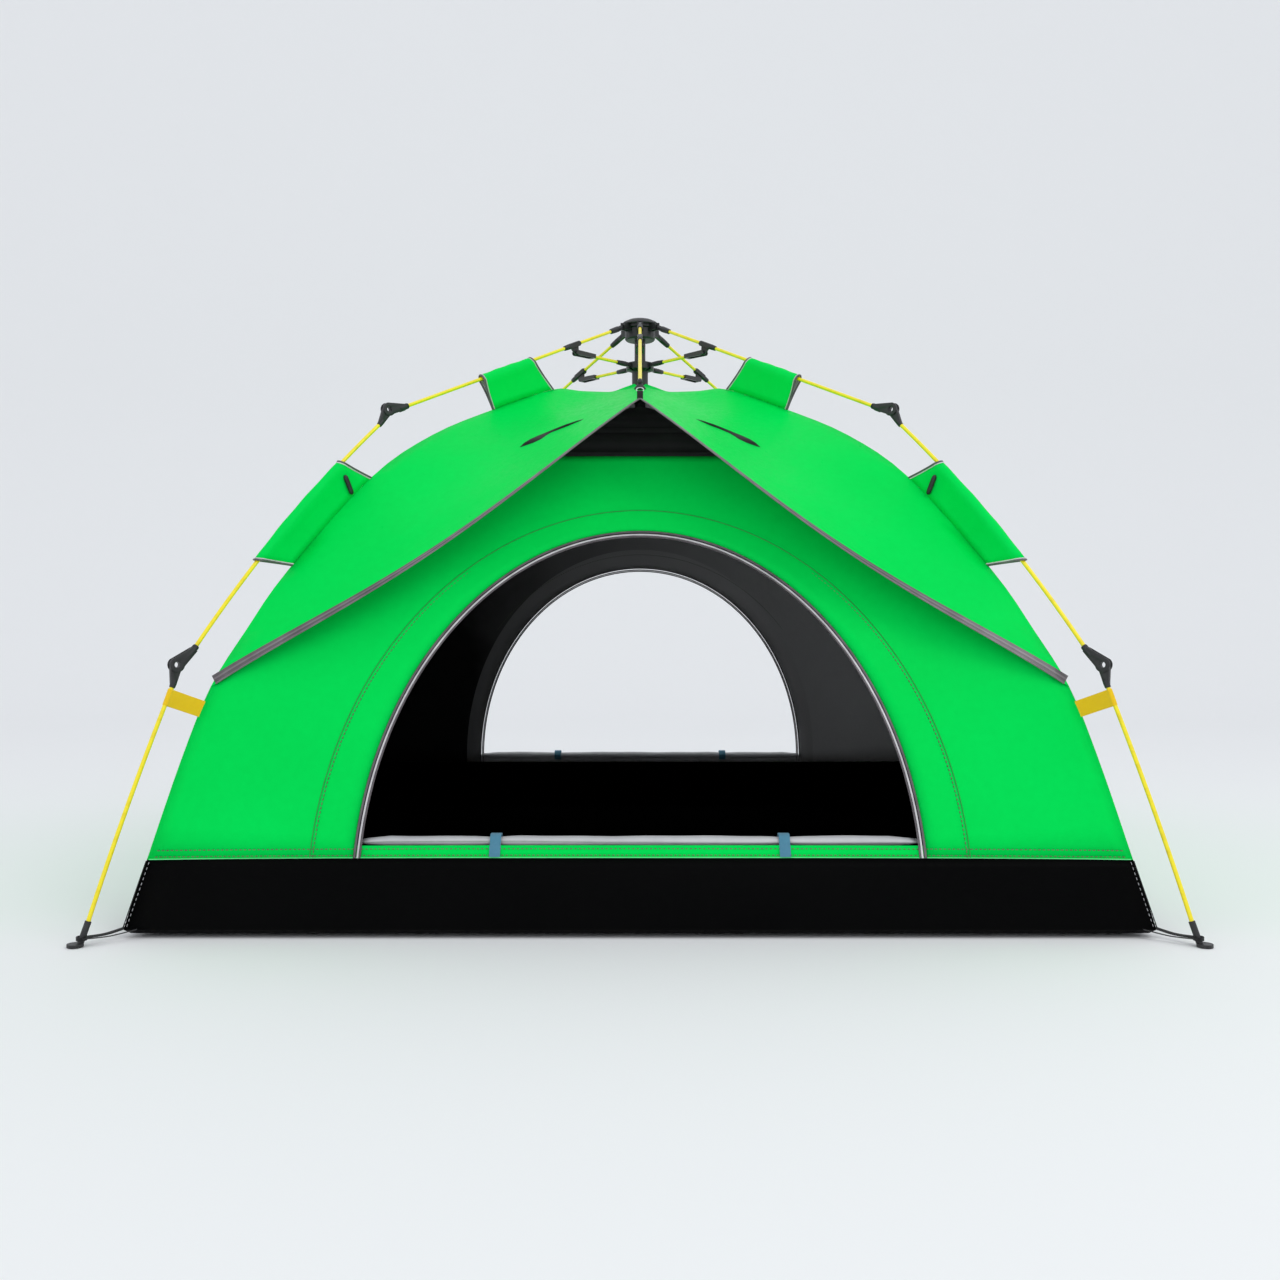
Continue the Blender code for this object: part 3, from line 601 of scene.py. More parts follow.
# ---- canopy ---------------------------------------------------------------------------------
def build_canopy():
    """One sheet over the top: front and rear roof with their awnings, and both side walls."""
    parts = []
    last = float(len(RIDGE) - 1)
    for side, azimuth in (("front", 0.0), ("rear", 180.0)):
        rows = [awning_row(t) for t in steps(0.0, AWNING_AT, 0.25)]
        parts.append(open_grid("roof_" + side, rows, azimuth))
    for side, azimuth in (("right", 0.0), ("left", 180.0)):
        rows = [wall_row(t) for t in steps(0.0, last, 0.25)]
        parts.append(open_grid("wall_" + side, rows, azimuth))
    canopy = joined("canopy", parts, GREEN, SILVER)
    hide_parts("canopy_front", "canopy_rear", "side_wall_left", "side_wall_right")
    soft(canopy, "canopy_cloth")


def open_grid(name, rows, azimuth):
    """A single layer of cloth from rows of points."""
    work, layer, grid = new_work(rows)
    for j in range(len(rows) - 1):
        for i in range(len(rows[0]) - 1):
            face = work.faces.new((grid[j][i], grid[j + 1][i], grid[j + 1][i + 1], grid[j][i + 1]))
            for loop in face.loops:
                p = loop.vert.co
                loop[layer].uv = (p.x if abs(p.y) > abs(p.x) else p.y, p.z)
    obj = new_object(name, work, [])
    return turned_about_hub(obj, azimuth)


def joined(name, parts, outside, inside, thickness=0.0009):
    """Weld sheets into one and thicken it inward."""
    work = bmesh.new()
    for part in parts:
        work.from_mesh(part.data)
        bpy.data.objects.remove(part, do_unlink=True)
    bmesh.ops.remove_doubles(work, verts=work.verts, dist=0.0006)
    bmesh.ops.recalc_face_normals(work, faces=work.faces)
    highest = max(work.faces, key=lambda f: f.calc_center_median().z)
    if highest.normal.z < 0:
        bmesh.ops.reverse_faces(work, faces=work.faces)
    obj = new_object(name, work, [outside, inside])
    obj.data.set_sharp_from_angle(angle=math.radians(70))
    thicken(obj, thickness, inside)
    return obj


# ---- door panels ----------------------------------------------------------------------------
def arch_point(half, top, angle):
    return half * math.cos(angle), DOOR_BASE_Z + (top - DOOR_BASE_Z) * math.sin(angle)


def arch_angle(top, z):
    return math.asin((z - DOOR_BASE_Z) / (top - DOOR_BASE_Z))


def outer_outline():
    """Right half of the panel's outer edge, from the floor wall up to the middle of its top."""
    points = [Vector((ridge_x(z) - 0.0003, z, 0.0)) for z in steps(WALL_TOP_Z, 0.90, 0.04)]
    points += [Vector((0.45, 0.948, 0.0)), Vector((0.33, 0.984, 0.0)), Vector((0.27, PANEL_TOP_Z, 0.0)),
               Vector((0.135, PANEL_TOP_Z, 0.0)), Vector((0.0, PANEL_TOP_Z, 0.0))]
    return points


def arch_curve(half, top, count):
    """(x, z) along an arch, from the floor wall on its right to the floor wall on its left."""
    start = arch_angle(top, WALL_TOP_Z)
    return [arch_point(half, top, start + (math.pi - 2 * start) * i / count)
            for i in range(count + 1)]


def rise(z):
    """How much of an arch's inset applies at a height: none near its feet, all at its top."""
    return max(0.0, z - 0.3) / 0.5


def build_door_panel(side, azimuth):
    """Cloth from the doorway's arch out to the ridges and the vent, and the sill under the door."""
    columns, layers = 56, 12
    outline = resampled(outer_outline(), 0.01)
    last = len(outline) - 1
    rows = []
    for j in range(layers, -1, -1):
        row = []
        for i, (x, z) in enumerate(arch_curve(DOOR_HALF, DOOR_TOP_Z, columns)):
            along = 1 - abs(2 * i / columns - 1)
            edge = outline[min(last, round(along ** 0.92 * last))]
            far_x = 0.0 if i * 2 == columns else math.copysign(edge.x, x)
            p = Vector((x, z, 0.0)).lerp(Vector((far_x, edge.y, 0.0)), j / layers)
            row.append(on_panel(p.x, p.y))
        rows.append(row)
    # The rear panel's inner face takes the lining with painted light and shade; the front panel's inner face
    # is plain silver.
    panel = grid_cloth("door_panel_cloth_" + side, rows, GREEN,
                       LIT_AND_SHADED_LINING if side == "rear" else SILVER, Vector((0, -1, 0)))
    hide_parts("door_panel_" + side)
    soft(panel, "canopy_cloth", azimuth)

    sill = grid_cloth("door_sill_" + side, [
        [on_panel(x, z, 0.0002) for x in steps(-0.5645, 0.5645, 0.05)]
        for z in (SILL_Z, 0.158, WALL_TOP_Z)], GREEN, SILVER, Vector((0, -1, 0)))
    soft(sill, "canopy_cloth", azimuth)
    build_door_edges(side, azimuth)


def build_door_edges(side, azimuth):
    """Three rolls of piping round the doorway, the curved seam outside them drawn as a dark line of painted
    shade, and both hems.
    """
    arch = arch_curve(DOOR_HALF, DOOR_TOP_Z, 90)
    for label, inset, proud, radius, mat, slot_, sides in (
            ("door_piping_", 0.0, 0.0016, 0.0026, PIPE_GREY, "black_plastic", 10),
            ("door_piping_core_", 0.0062, 0.0018, 0.0021, PIPE_WHITE, "silver_cloth", 10),
            ("door_piping_lip_", 0.0105, 0.0010, 0.0018, PIPE_GREY, "black_plastic", 8)):
        line = [on_panel(x * (1 - inset / DOOR_HALF), z - inset * rise(z), proud) for x, z in arch]
        soft(tube(label + side, line, radius, mat, sides), slot_, azimuth)

    # The curved seam is a thin dark-green tube of painted shade in the seam's fold; its stitches run beside
    # it.
    seam = [on_panel(x, z, 0.0004) for x, z in arch_curve(SEAM_HALF, SEAM_TOP_Z, 120)]
    soft(tube("door_seam_" + side, seam, 0.0011, SEAM_SHADOW, 8), "canopy_cloth", azimuth)
    sewn = [p + Vector((math.copysign(0.006, -p.x) if abs(p.x) > 0.02 else 0.0, -0.0004,
                        -0.006 * rise(p.z))) for p in seam]
    soft(stitches("door_seam_stitches_" + side, sewn, Vector((0, -1, 0.4)), THREAD),
         "canopy_cloth", azimuth)
    half = ridge_x(WALL_TOP_Z) - 0.004
    edge = [on_panel(x, WALL_TOP_Z + 0.0006, 0.0006) for x in steps(-half, half, 0.04)]
    soft(tube("wall_edge_" + side, edge, 0.0011, PALE_GREEN, 8), "canopy_cloth", azimuth)
    for i, z in enumerate((WALL_TOP_Z + 0.005, WALL_TOP_Z + 0.017)):
        half = ridge_x(z) - 0.012
        line = [on_panel(x, z, 0.0006) for x in steps(-half, half, 0.04)]
        soft(stitches(f"sill_stitches_{side}_{i}", line, Vector((0, -1, 0.4)), THREAD),
             "canopy_cloth", azimuth)


def build_vent(side, azimuth):
    """Netting between the door panel's top and the roof, and two tapes across it."""
    rows = []
    for j in range(15):
        z = PANEL_TOP_Z - 0.004 + (1.122 - PANEL_TOP_Z) * j / 14
        half = 0.278 * (1 - (j / 14) ** 2) + 0.008
        y = -(FLOOR_HALF - PANEL_LEAN * (z - FLOOR_EDGE_Z)) + 0.003
        rows.append([Vector((half * (k / 8 - 1), y + 0.006 * math.sin(j * 1.1), z)) for k in range(17)])
    rows.reverse()
    vent = grid_cloth("vent_netting_" + side, rows, NETTING, outward=Vector((0, -1, 0)),
                      thickness=0.0006)
    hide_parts("vent_mesh_" + side)
    soft(vent, "mesh_cloth", azimuth)
    for i, z in enumerate((PANEL_TOP_Z + 0.004, 1.058)):
        half = 0.26 if i == 0 else 0.12
        y = -(FLOOR_HALF - PANEL_LEAN * (z - FLOOR_EDGE_Z)) - 0.002
        band = [Vector((x, y, z)) for x in steps(-half, half, 0.05)]
        soft(strap(f"vent_tape_{side}_{i}", band, Vector((0, 0.41, 1)), 0.010, 0.001, BLACK_WEB),
             "mesh_cloth", azimuth)


def bound_strip(name, edge, inward, widths, lift, mat, start=0.0):
    """Flat tape that lies on both faces of the cloth along its edge."""
    work = bmesh.new()
    layer = work.loops.layers.uv.new("cloth")
    rings = []
    last = len(edge) - 1
    for i, p in enumerate(edge):
        along = (edge[min(last, i + 1)] - edge[max(0, i - 1)]).normalized()
        into = (inward[i] - along * inward[i].dot(along)).normalized()
        face = along.cross(into).normalized()
        near, far = p + into * (widths[i] * start - 0.0006), p + into * widths[i]
        rings.append([work.verts.new(q) for q in (near + face * lift, far + face * lift,
                                                  far - face * (lift + 0.0009),
                                                  near - face * (lift + 0.0009))])
    bridge(work, rings, layer, lambda r, c: (r * 0.01, c % 4 * 0.006))
    return new_object(name, work, [mat])


def build_awning_edge(side, azimuth):
    """Grey tape bound over the awning's edge, wider towards the corner ridges."""
    edge = awning_row(AWNING_AT, 80)
    above = awning_row(AWNING_AT - 0.2, 80)
    for row in (edge, above):
        row[0], row[-1] = row[0].lerp(row[1], 0.45), row[-1].lerp(row[-2], 0.45)
    inward = [(b - a) for a, b in zip(edge, above)]
    widths = [0.0068 + 0.0135 * abs(i / 40 - 1) ** 1.5 for i in range(81)]
    soft(bound_strip("awning_tape_" + side, edge, inward, widths, 0.0011, PIPE_GREY),
         "black_plastic", azimuth)
    soft(bound_strip("awning_tape_line_" + side, edge, inward, [w * 0.62 for w in widths], 0.0017,
                     PIPE_EDGE, start=0.66), "black_plastic", azimuth)
    soft(tube("awning_tape_bead_" + side, [p + Vector((0, -0.0006, -0.0004)) for p in edge], 0.0017,
              PIPE_EDGE, 8), "black_plastic", azimuth)


# ---- rolled doors ---------------------------------------------------------------------------
def build_roll(side, azimuth):
    """The door's flap rolled on the sill, nipped in where its two ties hold it."""
    low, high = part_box("door_roll_front")
    centre = (low + high) / 2
    half_x, half_y, half_z = (high - low) / 2
    laps, per_lap = 9.5, 16
    rows = []
    count = 60
    for j in range(count + 1):
        x = -half_x + 2 * half_x * j / count
        squeeze = 1.0
        for strap_x in (-TIE_X, TIE_X):
            squeeze -= 0.22 * math.exp(-((x - strap_x) / 0.03) ** 2)
        taper = min(1.0, (half_x - abs(x)) / 0.10 + 0.45)
        wobble = 0.05 * math.sin(x * 19.0) + 0.04 * math.sin(x * 47.0 + 1.0)
        row = []
        for i in range(int(laps * per_lap) + 1):
            a = 2 * math.pi * i / per_lap + 0.25 * math.sin(x * 5.0)
            size = 0.16 + 0.84 * i / (laps * per_lap)
            row.append(Vector((x, centre.y + half_y * 0.96 * size * math.cos(a) * squeeze,
                               centre.z + half_z * 0.96 * size * math.sin(a) * squeeze * taper
                               * (1 + wobble * size))))
        rows.append(row)
    roll = grid_cloth("rolled_door_" + side, rows, GREEN, SILVER, thickness=0.0004, sharp=80)
    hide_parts("door_roll_" + side)
    soft(roll, "silver_cloth", azimuth)

    over = ((-half_y - 0.0040, -0.002), (-half_y * 0.55, half_z + 0.0030),
            (half_y * 0.55, half_z + 0.0030), (half_y + 0.0035, 0.0),
            (half_y * 0.4, -half_z - 0.0030))
    for i, x in enumerate((-TIE_X, TIE_X)):
        line = [on_panel(x, WALL_TOP_Z + 0.002, 0.0030), on_panel(x, SILL_Z - 0.008, 0.0034)]
        line += [Vector((x, centre.y + y, centre.z + z)) for y, z in over]
        band = strap(f"tie_strap_{side}_{i}", smooth_path(line, 6), Vector((1, 0, 0)), 0.022, 0.0016,
                     BLUE_WEB)
        soft(band, "silver_cloth", azimuth)


# ---- tub floor ------------------------------------------------------------------------------
def tub_ring(half, z, bulge=0.0, count=24):
    """A square of points at one height, its sides slightly bowed."""
    ring = []
    for turn in range(4):
        for k in range(count):
            u = 2 * k / count - 1
            p = Vector((u * half, -(half + bulge * (1 - u * u)), z))
            p.rotate(Matrix.Rotation(math.pi / 2 * turn, 3, "Z"))
            ring.append(p)
    ring.append(ring[0].copy())
    return ring


def build_tub():
    top = ridge_at(len(RIDGE) - 1)[0] / math.sqrt(2)
    rows = []
    for j in range(9):
        f = j / 8
        half = top + (FLOOR_HALF - top) * f ** 0.9
        bulge = -0.022 * (1 - f) + 0.004 * math.sin(math.pi * f)
        rows.append(tub_ring(half, WALL_TOP_Z + (FLOOR_EDGE_Z - WALL_TOP_Z) * f, bulge))
    for half, z in ((FLOOR_HALF - 0.010, 0.008), (FLOOR_HALF - 0.035, 0.0022), (0.90, 0.0010),
                    (0.72, 0.0010), (0.48, 0.0010), (0.24, 0.0010), (0.02, 0.0010)):
        rows.append(tub_ring(half, z))
    # The tub's inside takes the darker copy of its cloth: painted shade.
    floor = grid_cloth("tub_floor_cloth", rows, BLACK, SHADED_FLOOR_INSIDE, Vector((0, 0, -1)),
                       thickness=0.0009)
    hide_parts("tub_floor")
    soft(floor, "floor_cloth")
    for name, azimuth in LEGS.items():
        corner = [Vector((top * math.sqrt(2) + 0.0015, 0.0, WALL_TOP_Z - 0.002)),
                  Vector((FLOOR_HALF * math.sqrt(2) + 0.0015, 0.0, FLOOR_EDGE_Z + 0.004))]
        soft(tube("corner_seam_" + name, resampled(corner, 0.01), 0.0010, BLACK_WEB, 8),
             "floor_cloth", azimuth)
        for k, shift in enumerate((-0.0052, 0.0052)):
            line = [p + Vector((-0.0045, shift, 0.0)) for p in corner]
            soft(stitches(f"corner_stitches_{name}_{k}", line, Vector((1, 0, 0.2)), PALE_THREAD,
                          pitch=0.010, length=0.006, width=0.0013), "floor_cloth", azimuth)


# ---- pole sleeves, tabs and straps ----------------------------------------------------------
def on_rib(reach, pitch=RIB_PITCH):
    """(r, z) on a rib's axis, at a distance from its root."""
    return RIB_ROOT[0] + reach * math.cos(pitch), RIB_ROOT[1] - reach * math.sin(pitch)


def rod_point(kind, share):
    """(r, z) on a rod's axis, at a share of the way along its piece."""
    if kind == "rib":
        return on_rib(math.dist(RIB_ROOT, UPPER_KNEE) * share)
    start, end, bow = ((UPPER_KNEE, LOWER_KNEE, 0.017) if kind == "middle"
                       else (LOWER_KNEE, FOOT, 0.004))
    length = math.dist(start, end)
    along = ((end[0] - start[0]) / length, (end[1] - start[1]) / length)
    normal = (-along[1], along[0])
    reach = length * share
    inner = max(0.0, min(1.0, (reach - 0.042) / (length - 0.09)))
    off = -KNEE_OFFSET + 4 * bow * inner * (1 - inner)
    return (start[0] + along[0] * reach + normal[0] * off,
            start[1] + along[1] * reach + normal[1] * off)


def sleeve_outline(base, rod, radius, count=18):
    """A flap from the ridge that wraps the rod: points (r, y, z) from one side to the other."""
    axis = Vector((rod[0] - base[0], 0.0, rod[1] - base[1]))
    length = axis.length
    up = axis.normalized()
    points = []
    for i in range(count + 1):
        f = i / count
        if f < 0.25:
            s = f / 0.25
            points.append((s * (length - radius * 0.9), -0.0012 - (radius * 0.75) * s ** 2.2))
        elif f > 0.75:
            s = (1 - f) / 0.25
            points.append((s * (length - radius * 0.9), 0.0012 + (radius * 0.75) * s ** 2.2))
        else:
            a = math.pi * (f - 0.25) / 0.5
            points.append((length + radius * math.sin(a) * 0.95
                           - radius * 0.9 * (1 - math.sin(a)), -radius * math.cos(a)))
    return [Vector((base[0], 0.0, base[1])) + up * s + Vector((0, y, 0)) for s, y in points]


def build_sleeves():
    """Green flaps sewn to the corner ridges that hold the poles."""
    for name, azimuth in LEGS.items():
        for kind, rod_kind, ridge_span, rod_span in (
                ("upper", "rib", (5.0, 6.03), (0.439, 0.6486)),
                ("lower", "middle", (8.0, 8.945), (0.238, 0.632))):
            rows = []
            count = 14
            for j in range(count + 1):
                f = j / count
                base = ridge_at(ridge_span[0] + (ridge_span[1] - ridge_span[0]) * f)
                rod = rod_point(rod_kind, rod_span[0] + (rod_span[1] - rod_span[0]) * f)
                loose = 0.0098 + 0.0016 * math.sin(math.pi * f) + 0.0006 * math.sin(f * 21)
                rows.append(sleeve_outline(base, rod, loose))
            sleeve = grid_cloth(f"{kind}_sleeve_{name}", rows, GREEN, SILVER,
                                thickness=0.0006, sharp=80)
            soft(sleeve, "canopy_cloth", azimuth)
            for end, row in (("top", rows[0]), ("bottom", rows[-1])):
                soft(tube(f"{kind}_sleeve_piping_{end}_{name}", row, 0.0021, PIPE_GREY, 8),
                     "black_plastic", azimuth)
                inward = (rows[1][9] - rows[0][9]).normalized() * (0.0042 if end == "top" else -0.0042)
                pale = [p + inward for p in row]
                soft(tube(f"{kind}_sleeve_core_{end}_{name}", pale, 0.0014, PIPE_WHITE, 8),
                     "silver_cloth", azimuth)
        build_toggle(name, azimuth)


def build_toggle(name, azimuth):
    """The black toggle that closes the lower sleeve round its rod."""
    for side in (-1, 1):
        low = Vector((0.911, side * 0.0050, 0.902))
        high = Vector((0.932, side * 0.0085, 0.943))
        points = resampled([low, high], 0.0022)
        radii = [0.0054 * math.sqrt(max(0.08, 1 - (2 * i / (len(points) - 1) - 1) ** 8))
                 for i in range(len(points))]
        label = "outer" if side < 0 else "inner"
        soft(tube(f"sleeve_toggle_{label}_{name}", points, radii, PLASTIC, 14),
             "black_plastic", azimuth)


def build_tabs():
    """Yellow webbing from the lower rods to the corner ridges."""
    for name, azimuth in LEGS.items():
        rod = rod_point("lower", 0.118)
        base = ridge_at(11.34)
        a = Vector((base[0] - 0.004, 0.0, base[1]))
        b = Vector((rod[0], 0.0, rod[1]))
        across = Vector((FOOT[0] - LOWER_KNEE[0], 0.0, FOOT[1] - LOWER_KNEE[1])).normalized()
        out = (b - a).normalized()
        loop = [a + Vector((0, -0.0010, 0)), a.lerp(b, 0.5) + Vector((0, -0.0014, 0)),
                b - out * 0.006 + Vector((0, -0.0040, 0)), b + Vector((0, -0.0052, 0)),
                b + out * 0.0052, b + Vector((0, 0.0052, 0)), b - out * 0.006 + Vector((0, 0.0040, 0)),
                a.lerp(b, 0.5) + Vector((0, 0.0014, 0)), a + Vector((0, 0.0010, 0))]
        tab = strap("pole_tab_" + name, smooth_path(loop, 5), across, 0.034, 0.0012, YELLOW_WEB)
        soft(tab, "rod", azimuth)


def build_corner_straps():
    """Two short black straps tie each floor corner to its foot."""
    for name, azimuth in LEGS.items():
        foot = Vector((FOOT[0] - 0.010, 0.0, 0.014))
        for k, side in enumerate((-1, 1)):
            corner = Vector((FLOOR_HALF * math.sqrt(2) - 0.018, side * 0.018, FLOOR_EDGE_Z + 0.001))
            middle = foot.lerp(corner, 0.5) + Vector((0, side * 0.002, -0.004))
            line = smooth_path([foot + Vector((0, side * 0.0085, 0)), middle, corner], 8)
            soft(strap(f"corner_strap_{k}_{name}", line, Vector((0.2, side, 0.5)), 0.0075, 0.0013,
                       BLACK_WEB), "black_plastic", azimuth)
        ring = [foot + Vector((0.0095 * math.cos(a) - 0.002, 0.0095 * math.sin(a), 0.0))
                for a in turns(24, closed=True)]
        soft(strap("foot_loop_" + name, ring, Vector((0, 0, 1)), 0.0075, 0.0013, BLACK_WEB),
             "black_plastic", azimuth)


# ---- awning hooks ---------------------------------------------------------------------------
def build_hooks():
    """At the end of each short rib: a collar, a hook, a steel ring and the awning's strap."""
    for name, azimuth in AWNINGS.items():
        low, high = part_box("awning_rib_front")
        end = Vector((0.0, low.y, low.z + 0.004))
        back = Vector((0.0, math.cos(AWNING_PITCH), math.sin(AWNING_PITCH)))
        shaft = [end + back * s for s in (0.008, 0.007, 0.002, -0.001, -0.004, -0.0055)]
        cap = tube("awning_rib_cap_" + name, shaft, [0.0048, 0.0056, 0.0058, 0.0056, 0.0042, 0.0015],
                   PLASTIC, 20)
        firm(cap, "rib_" + name, azimuth)
        ring_at = Vector((0.0, AWNING_TIP.y + 0.002, AWNING_TIP.z + 0.0180))
        top = end + Vector((0, 0.002, -0.004))
        points = [top.lerp(ring_at, f) for f in (0.0, 0.25, 0.5, 0.75, 0.88, 0.9)]
        sections = [[(wide * math.cos(a), 0.0036 * math.sin(a))
                     for a in turns(16)]
                    for wide in (0.0052, 0.0070, 0.0098, 0.0122, 0.0126, 0.0100)]
        firm(swept("awning_hook_" + name, points, sections, PLASTIC), "rib_" + name,
             azimuth)
        circle_points = [ring_at + Vector((0.0078 * math.cos(a), -0.001, 0.0042 * math.sin(a)))
                         for a in turns(28, closed=True)]
        firm(tube("awning_ring_" + name, circle_points, 0.0012, STEEL, 10), "rib_" + name,
             azimuth)
        loop = [ring_at + Vector((0, -0.0036, -0.0185)), ring_at + Vector((0, -0.0040, -0.008)),
                ring_at + Vector((0, -0.001, -0.0024)), ring_at + Vector((0, 0.0030, -0.008)),
                ring_at + Vector((0, 0.0035, -0.0185))]
        soft(strap("awning_strap_" + name, smooth_path(loop, 6), Vector((1, 0, 0)), 0.013, 0.0014,
                   BLACK_WEB), "black_plastic", azimuth)


# ---- frame ----------------------------------------------------------------------------------
def build_rods():
    """Smooth round rods in place of the faceted ones."""
    for name, azimuth in LEGS.items():
        for kind, top, bottom, end_gap in (("middle", UPPER_KNEE, LOWER_KNEE, 0.040),
                                           ("lower", LOWER_KNEE, FOOT, 0.048)):
            length, node = math.dist(top, bottom), f"{kind}_rod_{name}"
            start, end = 0.040 / length, 1 - end_gap / length
            line = []
            for i in range(41):
                r, z = rod_point(kind, start + (end - start) * i / 40)
                line.append(Vector((r, 0.0, z)))
            rod = tube("smooth_" + node, line, ROD_R, ROD, 20)
            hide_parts(node)
            firm(rod, f"{kind}_{name}", azimuth)


def prism(outline, low, high):
    """A closed slab: an (x, z) outline between two lateral planes, as mesh data."""
    work = bmesh.new()
    near = [work.verts.new((x, low, z)) for x, z in outline]
    far = [work.verts.new((x, high, z)) for x, z in outline]
    count = len(outline)
    for i in range(count):
        k = (i + 1) % count
        work.faces.new((near[i], near[k], far[k], far[i]))
    work.faces.new(list(reversed(near)))
    work.faces.new(far)
    bmesh.ops.recalc_face_normals(work, faces=work.faces)
    return new_object("prism", work, [PLASTIC])


def teardrop(radius, reach, half, drop):
    """Outline round a pin that tapers along -X to a socket, whose line lies drop below the pin."""
    points = [(-reach, -drop - half)]
    for i in range(25):
        angle = math.radians(-118 + 214 * i / 24)
        points.append((radius * math.cos(angle), radius * math.sin(angle)))
    return points + [(-reach, -drop + half)]


def drilled(obj, radius):
    """Open a round hole on the pin's line."""
    tool = prism(circle(radius, 24), -0.03, 0.03)
    cut = obj.modifiers.new("hole", "BOOLEAN")
    cut.operation, cut.solver, cut.object = "DIFFERENCE", "EXACT", tool
    baked(obj)
    bpy.data.objects.remove(tool, do_unlink=True)
    return obj


def chamfered(obj, width):
    edge = obj.modifiers.new("edge", "BEVEL")
    edge.width, edge.segments, edge.limit_method = width, 2, "ANGLE"
    return baked(obj)


def merged(name, parts):
    """Several closed bodies as one object."""
    work = bmesh.new()
    for part in parts:
        work.from_mesh(part.data)
        bpy.data.objects.remove(part, do_unlink=True)
    return new_object(name, work, [PLASTIC])


def build_knees():
    """One-way knees: a tapered fork with a hollow pin, and the slim tongue that turns in it."""
    rib_tilt = math.atan2(RIB_ROOT[1] - UPPER_KNEE[1], UPPER_KNEE[0] - RIB_ROOT[0]) + math.asin(
        KNEE_OFFSET / math.dist(RIB_ROOT, UPPER_KNEE))
    mid_tilt = math.atan2(UPPER_KNEE[1] - LOWER_KNEE[1], LOWER_KNEE[0] - UPPER_KNEE[0])
    low_tilt = math.atan2(LOWER_KNEE[1] - FOOT[1], FOOT[0] - LOWER_KNEE[0])
    for name, azimuth in LEGS.items():
        for level, pin, above, below, fork_body, tongue_body in (
                ("upper", UPPER_KNEE, rib_tilt, mid_tilt, "rib_", "middle_"),
                ("lower", LOWER_KNEE, mid_tilt, low_tilt, "middle_", "lower_")):
            cheek = teardrop(0.0152, 0.047, 0.0062, KNEE_OFFSET)
            cheeks = [chamfered(drilled(prism(cheek, a, b), PIN_HOLE), 0.0006)
                      for a, b in ((-0.0073, -0.0049), (0.0049, 0.0073))]
            core = prism([(-0.047, -0.0137), (-0.018, -0.0137), (-0.018, -0.0040), (-0.047, -0.0013)],
                         -0.0055, 0.0055)
            socket = tube("socket", [Vector((x, 0, -KNEE_OFFSET)) for x in
                                     (-0.056, -0.0555, -0.050, -0.044, -0.030)],
                          [0.0052, 0.0060, 0.0064, 0.0080, 0.0082], PLASTIC, 18)
            ribs = [tube("rib", [Vector((x, 0, -KNEE_OFFSET)), Vector((x + 0.0016, 0, -KNEE_OFFSET))],
                         0.0068, PLASTIC, 18) for x in (-0.0535, -0.0505, -0.0475)]
            fork = merged(f"{level}_knee_fork_{name}_shell", cheeks + [core, socket] + ribs)
            place_in_leg(fork, pin, above, azimuth)
            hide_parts(f"{level}_knee_fork_{name}")
            firm(fork, fork_body + name)
            hub = chamfered(drilled(prism([(-x, z) for x, z in teardrop(0.0136, 0.040, 0.0052, KNEE_OFFSET)],
                                          -0.0045, 0.0045), PIN_HOLE), 0.0006)
            sleeve = tube("sleeve", [Vector((x, 0, -KNEE_OFFSET)) for x in
                                     (0.030, 0.038, 0.043, 0.0455, 0.046)],
                          [0.0062, 0.0062, 0.0060, 0.0056, 0.0048], PLASTIC, 18)
            tongue = merged(f"{level}_knee_tongue_{name}_shell", [hub, sleeve])
            place_in_leg(tongue, pin, below, azimuth)
            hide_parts(f"{level}_knee_tongue_{name}")
            firm(tongue, tongue_body + name)


def place_in_leg(obj, origin, tilt, azimuth):
    """From a joint's own plane to its place on a leg."""
    obj.data.transform(Matrix.Rotation(math.radians(azimuth), 4, "Z")
                       @ Matrix.Translation((origin[0], 0.0, origin[1]))
                       @ Matrix.Rotation(tilt, 4, "Y"))


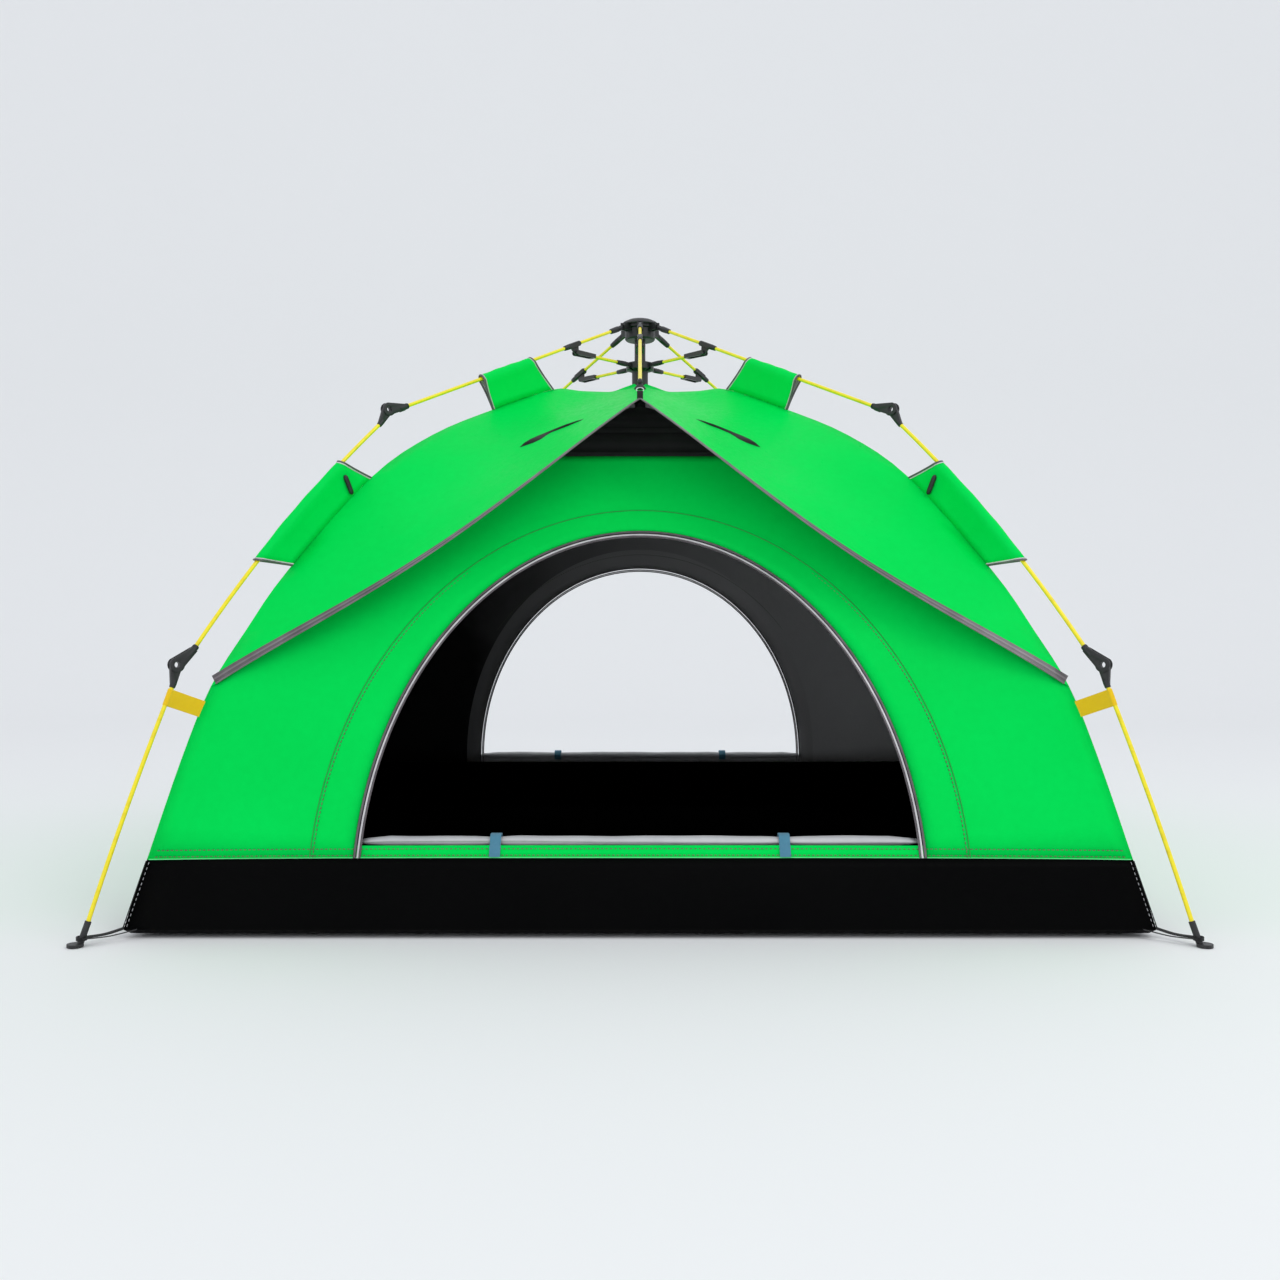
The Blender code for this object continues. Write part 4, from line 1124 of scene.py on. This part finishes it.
def build_sockets():
    """Moulded sockets on the roots of the ribs and on both ends of the struts, and the hub's cap."""
    spokes = dict(LEGS)
    spokes.update({"front": -90.0, "rear": 90.0})
    for name, azimuth in spokes.items():
        pitch = RIB_PITCH if name in LEGS else AWNING_PITCH
        for label, body, spots, radii in (
                ("rib_socket_", "rib_", [on_rib(d, pitch) for d in (0.026, 0.030, 0.045, 0.0585, 0.060)],
                 [0.0068, 0.0078, 0.0076, 0.0068, 0.0052]),
                ("strut_root_", "strut_", [(r, STRUT_Z) for r in (0.052, 0.056, 0.070, 0.088, 0.0895)],
                 [0.0056, 0.0068, 0.0068, 0.0058, 0.0048]),
                ("collar_sleeve_", "rib_",
                 [on_rib(d, pitch) for d in (0.181, 0.183, 0.196, 0.225, 0.240, 0.2415)],
                 [0.0052, 0.0066, 0.0071, 0.0071, 0.0062, 0.0050])):
            line = [Vector((r, 0.0, z)) for r, z in spots]
            firm(tube(label + name, line, radii, PLASTIC, 18), body + name, azimuth)
    profile = [(0.0, 1.4628), (0.018, 1.4620), (0.034, 1.4588), (0.046, 1.4530), (0.0535, 1.4470),
               (0.0555, 1.4440), (0.0545, 1.4420), (0.0, 1.4420)]
    work = bmesh.new()
    rings = [[work.verts.new((x, y, z)) for x, y in circle(r, 48)] for r, z in profile[1:-1]]
    for a, b in zip(rings, rings[1:]):
        for k in range(48):
            m = (k + 1) % 48
            work.faces.new((a[k], b[k], b[m], a[m]))
    crown = work.verts.new((0.0, 0.0, profile[0][1]))
    for k in range(48):
        work.faces.new((crown, rings[0][k], rings[0][(k + 1) % 48]))
    work.faces.new(list(reversed(rings[-1])))
    bmesh.ops.recalc_face_normals(work, faces=work.faces)
    firm(new_object("hub_cap", work, [PLASTIC]), "hub")


def paint_nodes():
    """Give every CAD node that still shows its moulded or painted finish."""
    for node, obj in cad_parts.items():
        if node.startswith("strut_"):
            mat = STRUT
        elif node.startswith(("rib_", "awning_rib_")):
            mat = RIB
        else:
            mat = PLASTIC
        if not obj.material_slots:
            obj.data.materials.append(mat)
        for place in obj.material_slots:
            place.material = mat


# ---- stage ----------------------------------------------------------------------------------
def build_stage():
    """A pale floor that curves up into a backdrop, soft light from the upper right, a level camera."""
    s = Shader("studio_floor", 0.9, specular=0.1)
    floor = s.finish(base_color=s.mix(s.noise(1.5, 2.0), (0.880, 0.880, 0.885),
                                      (0.886, 0.886, 0.890)))
    rows = []
    for y, z in [(-9.0, -0.001), (-2.0, -0.001), (3.0, -0.001)] + [
            (5.0 + 3.0 * math.sin(a), 3.0 - 3.0 * math.cos(a) - 0.001)
            for a in [math.pi / 2 * i / 12 for i in range(13)]] + [(8.0, 9.0)]:
        rows.append([Vector((x, y, z)) for x in (-14.0, 0.0, 14.0)])
    work = bmesh.new()
    grid = [[work.verts.new(p) for p in row] for row in rows]
    for a, b in zip(grid, grid[1:]):
        for i in range(2):
            work.faces.new((a[i], a[i + 1], b[i + 1], b[i]))
    sweep = new_object("studio_sweep", work, [floor])

    world = bpy.data.worlds.new("studio_world")
    world.use_nodes = True
    bpy.context.scene.world = world
    sky = world.node_tree.nodes["Background"]
    sky.inputs["Color"].default_value = (0.93, 0.96, 1.0, 1.0)
    sky.inputs["Strength"].default_value = 0.93

    def area(name, place, target, size, energy):
        lamp = bpy.data.lights.new(name, "AREA")
        lamp.size = size
        lamp.energy = energy
        obj = bpy.data.objects.new(name, lamp)
        obj.location = place
        obj.rotation_euler = (Vector(target) - Vector(place)).to_track_quat("-Z", "Y").to_euler()
        bpy.context.scene.collection.objects.link(obj)

    area("key", (2.6, -3.4, 4.4), (0, 0, 0.5), 2.2, 48.0)
    area("fill", (-4.0, -3.5, 2.2), (0, 0, 0.6), 3.5, 8.0)

    lens = bpy.data.cameras.new("camera")
    lens.lens = 34.1
    lens.sensor_width = 36.0
    camera = bpy.data.objects.new("camera", lens)
    camera.location = (0.0, -3.348, 0.578)
    camera.rotation_euler = (math.pi / 2, 0.0, 0.0)
    bpy.context.scene.collection.objects.link(camera)
    bpy.context.scene.camera = camera


# ---- build ----------------------------------------------------------------------------------
build_stage()
build_canopy()
for end_name, turn_angle in (("front", 0.0), ("rear", 180.0)):
    build_door_panel(end_name, turn_angle)
    build_vent(end_name, turn_angle)
    build_awning_edge(end_name, turn_angle)
    build_roll(end_name, turn_angle)
build_tub()
build_sleeves()
build_tabs()
build_corner_straps()
build_hooks()
build_rods()
build_knees()
build_sockets()
paint_nodes()

bpy.context.scene.view_settings.view_transform = "Standard"
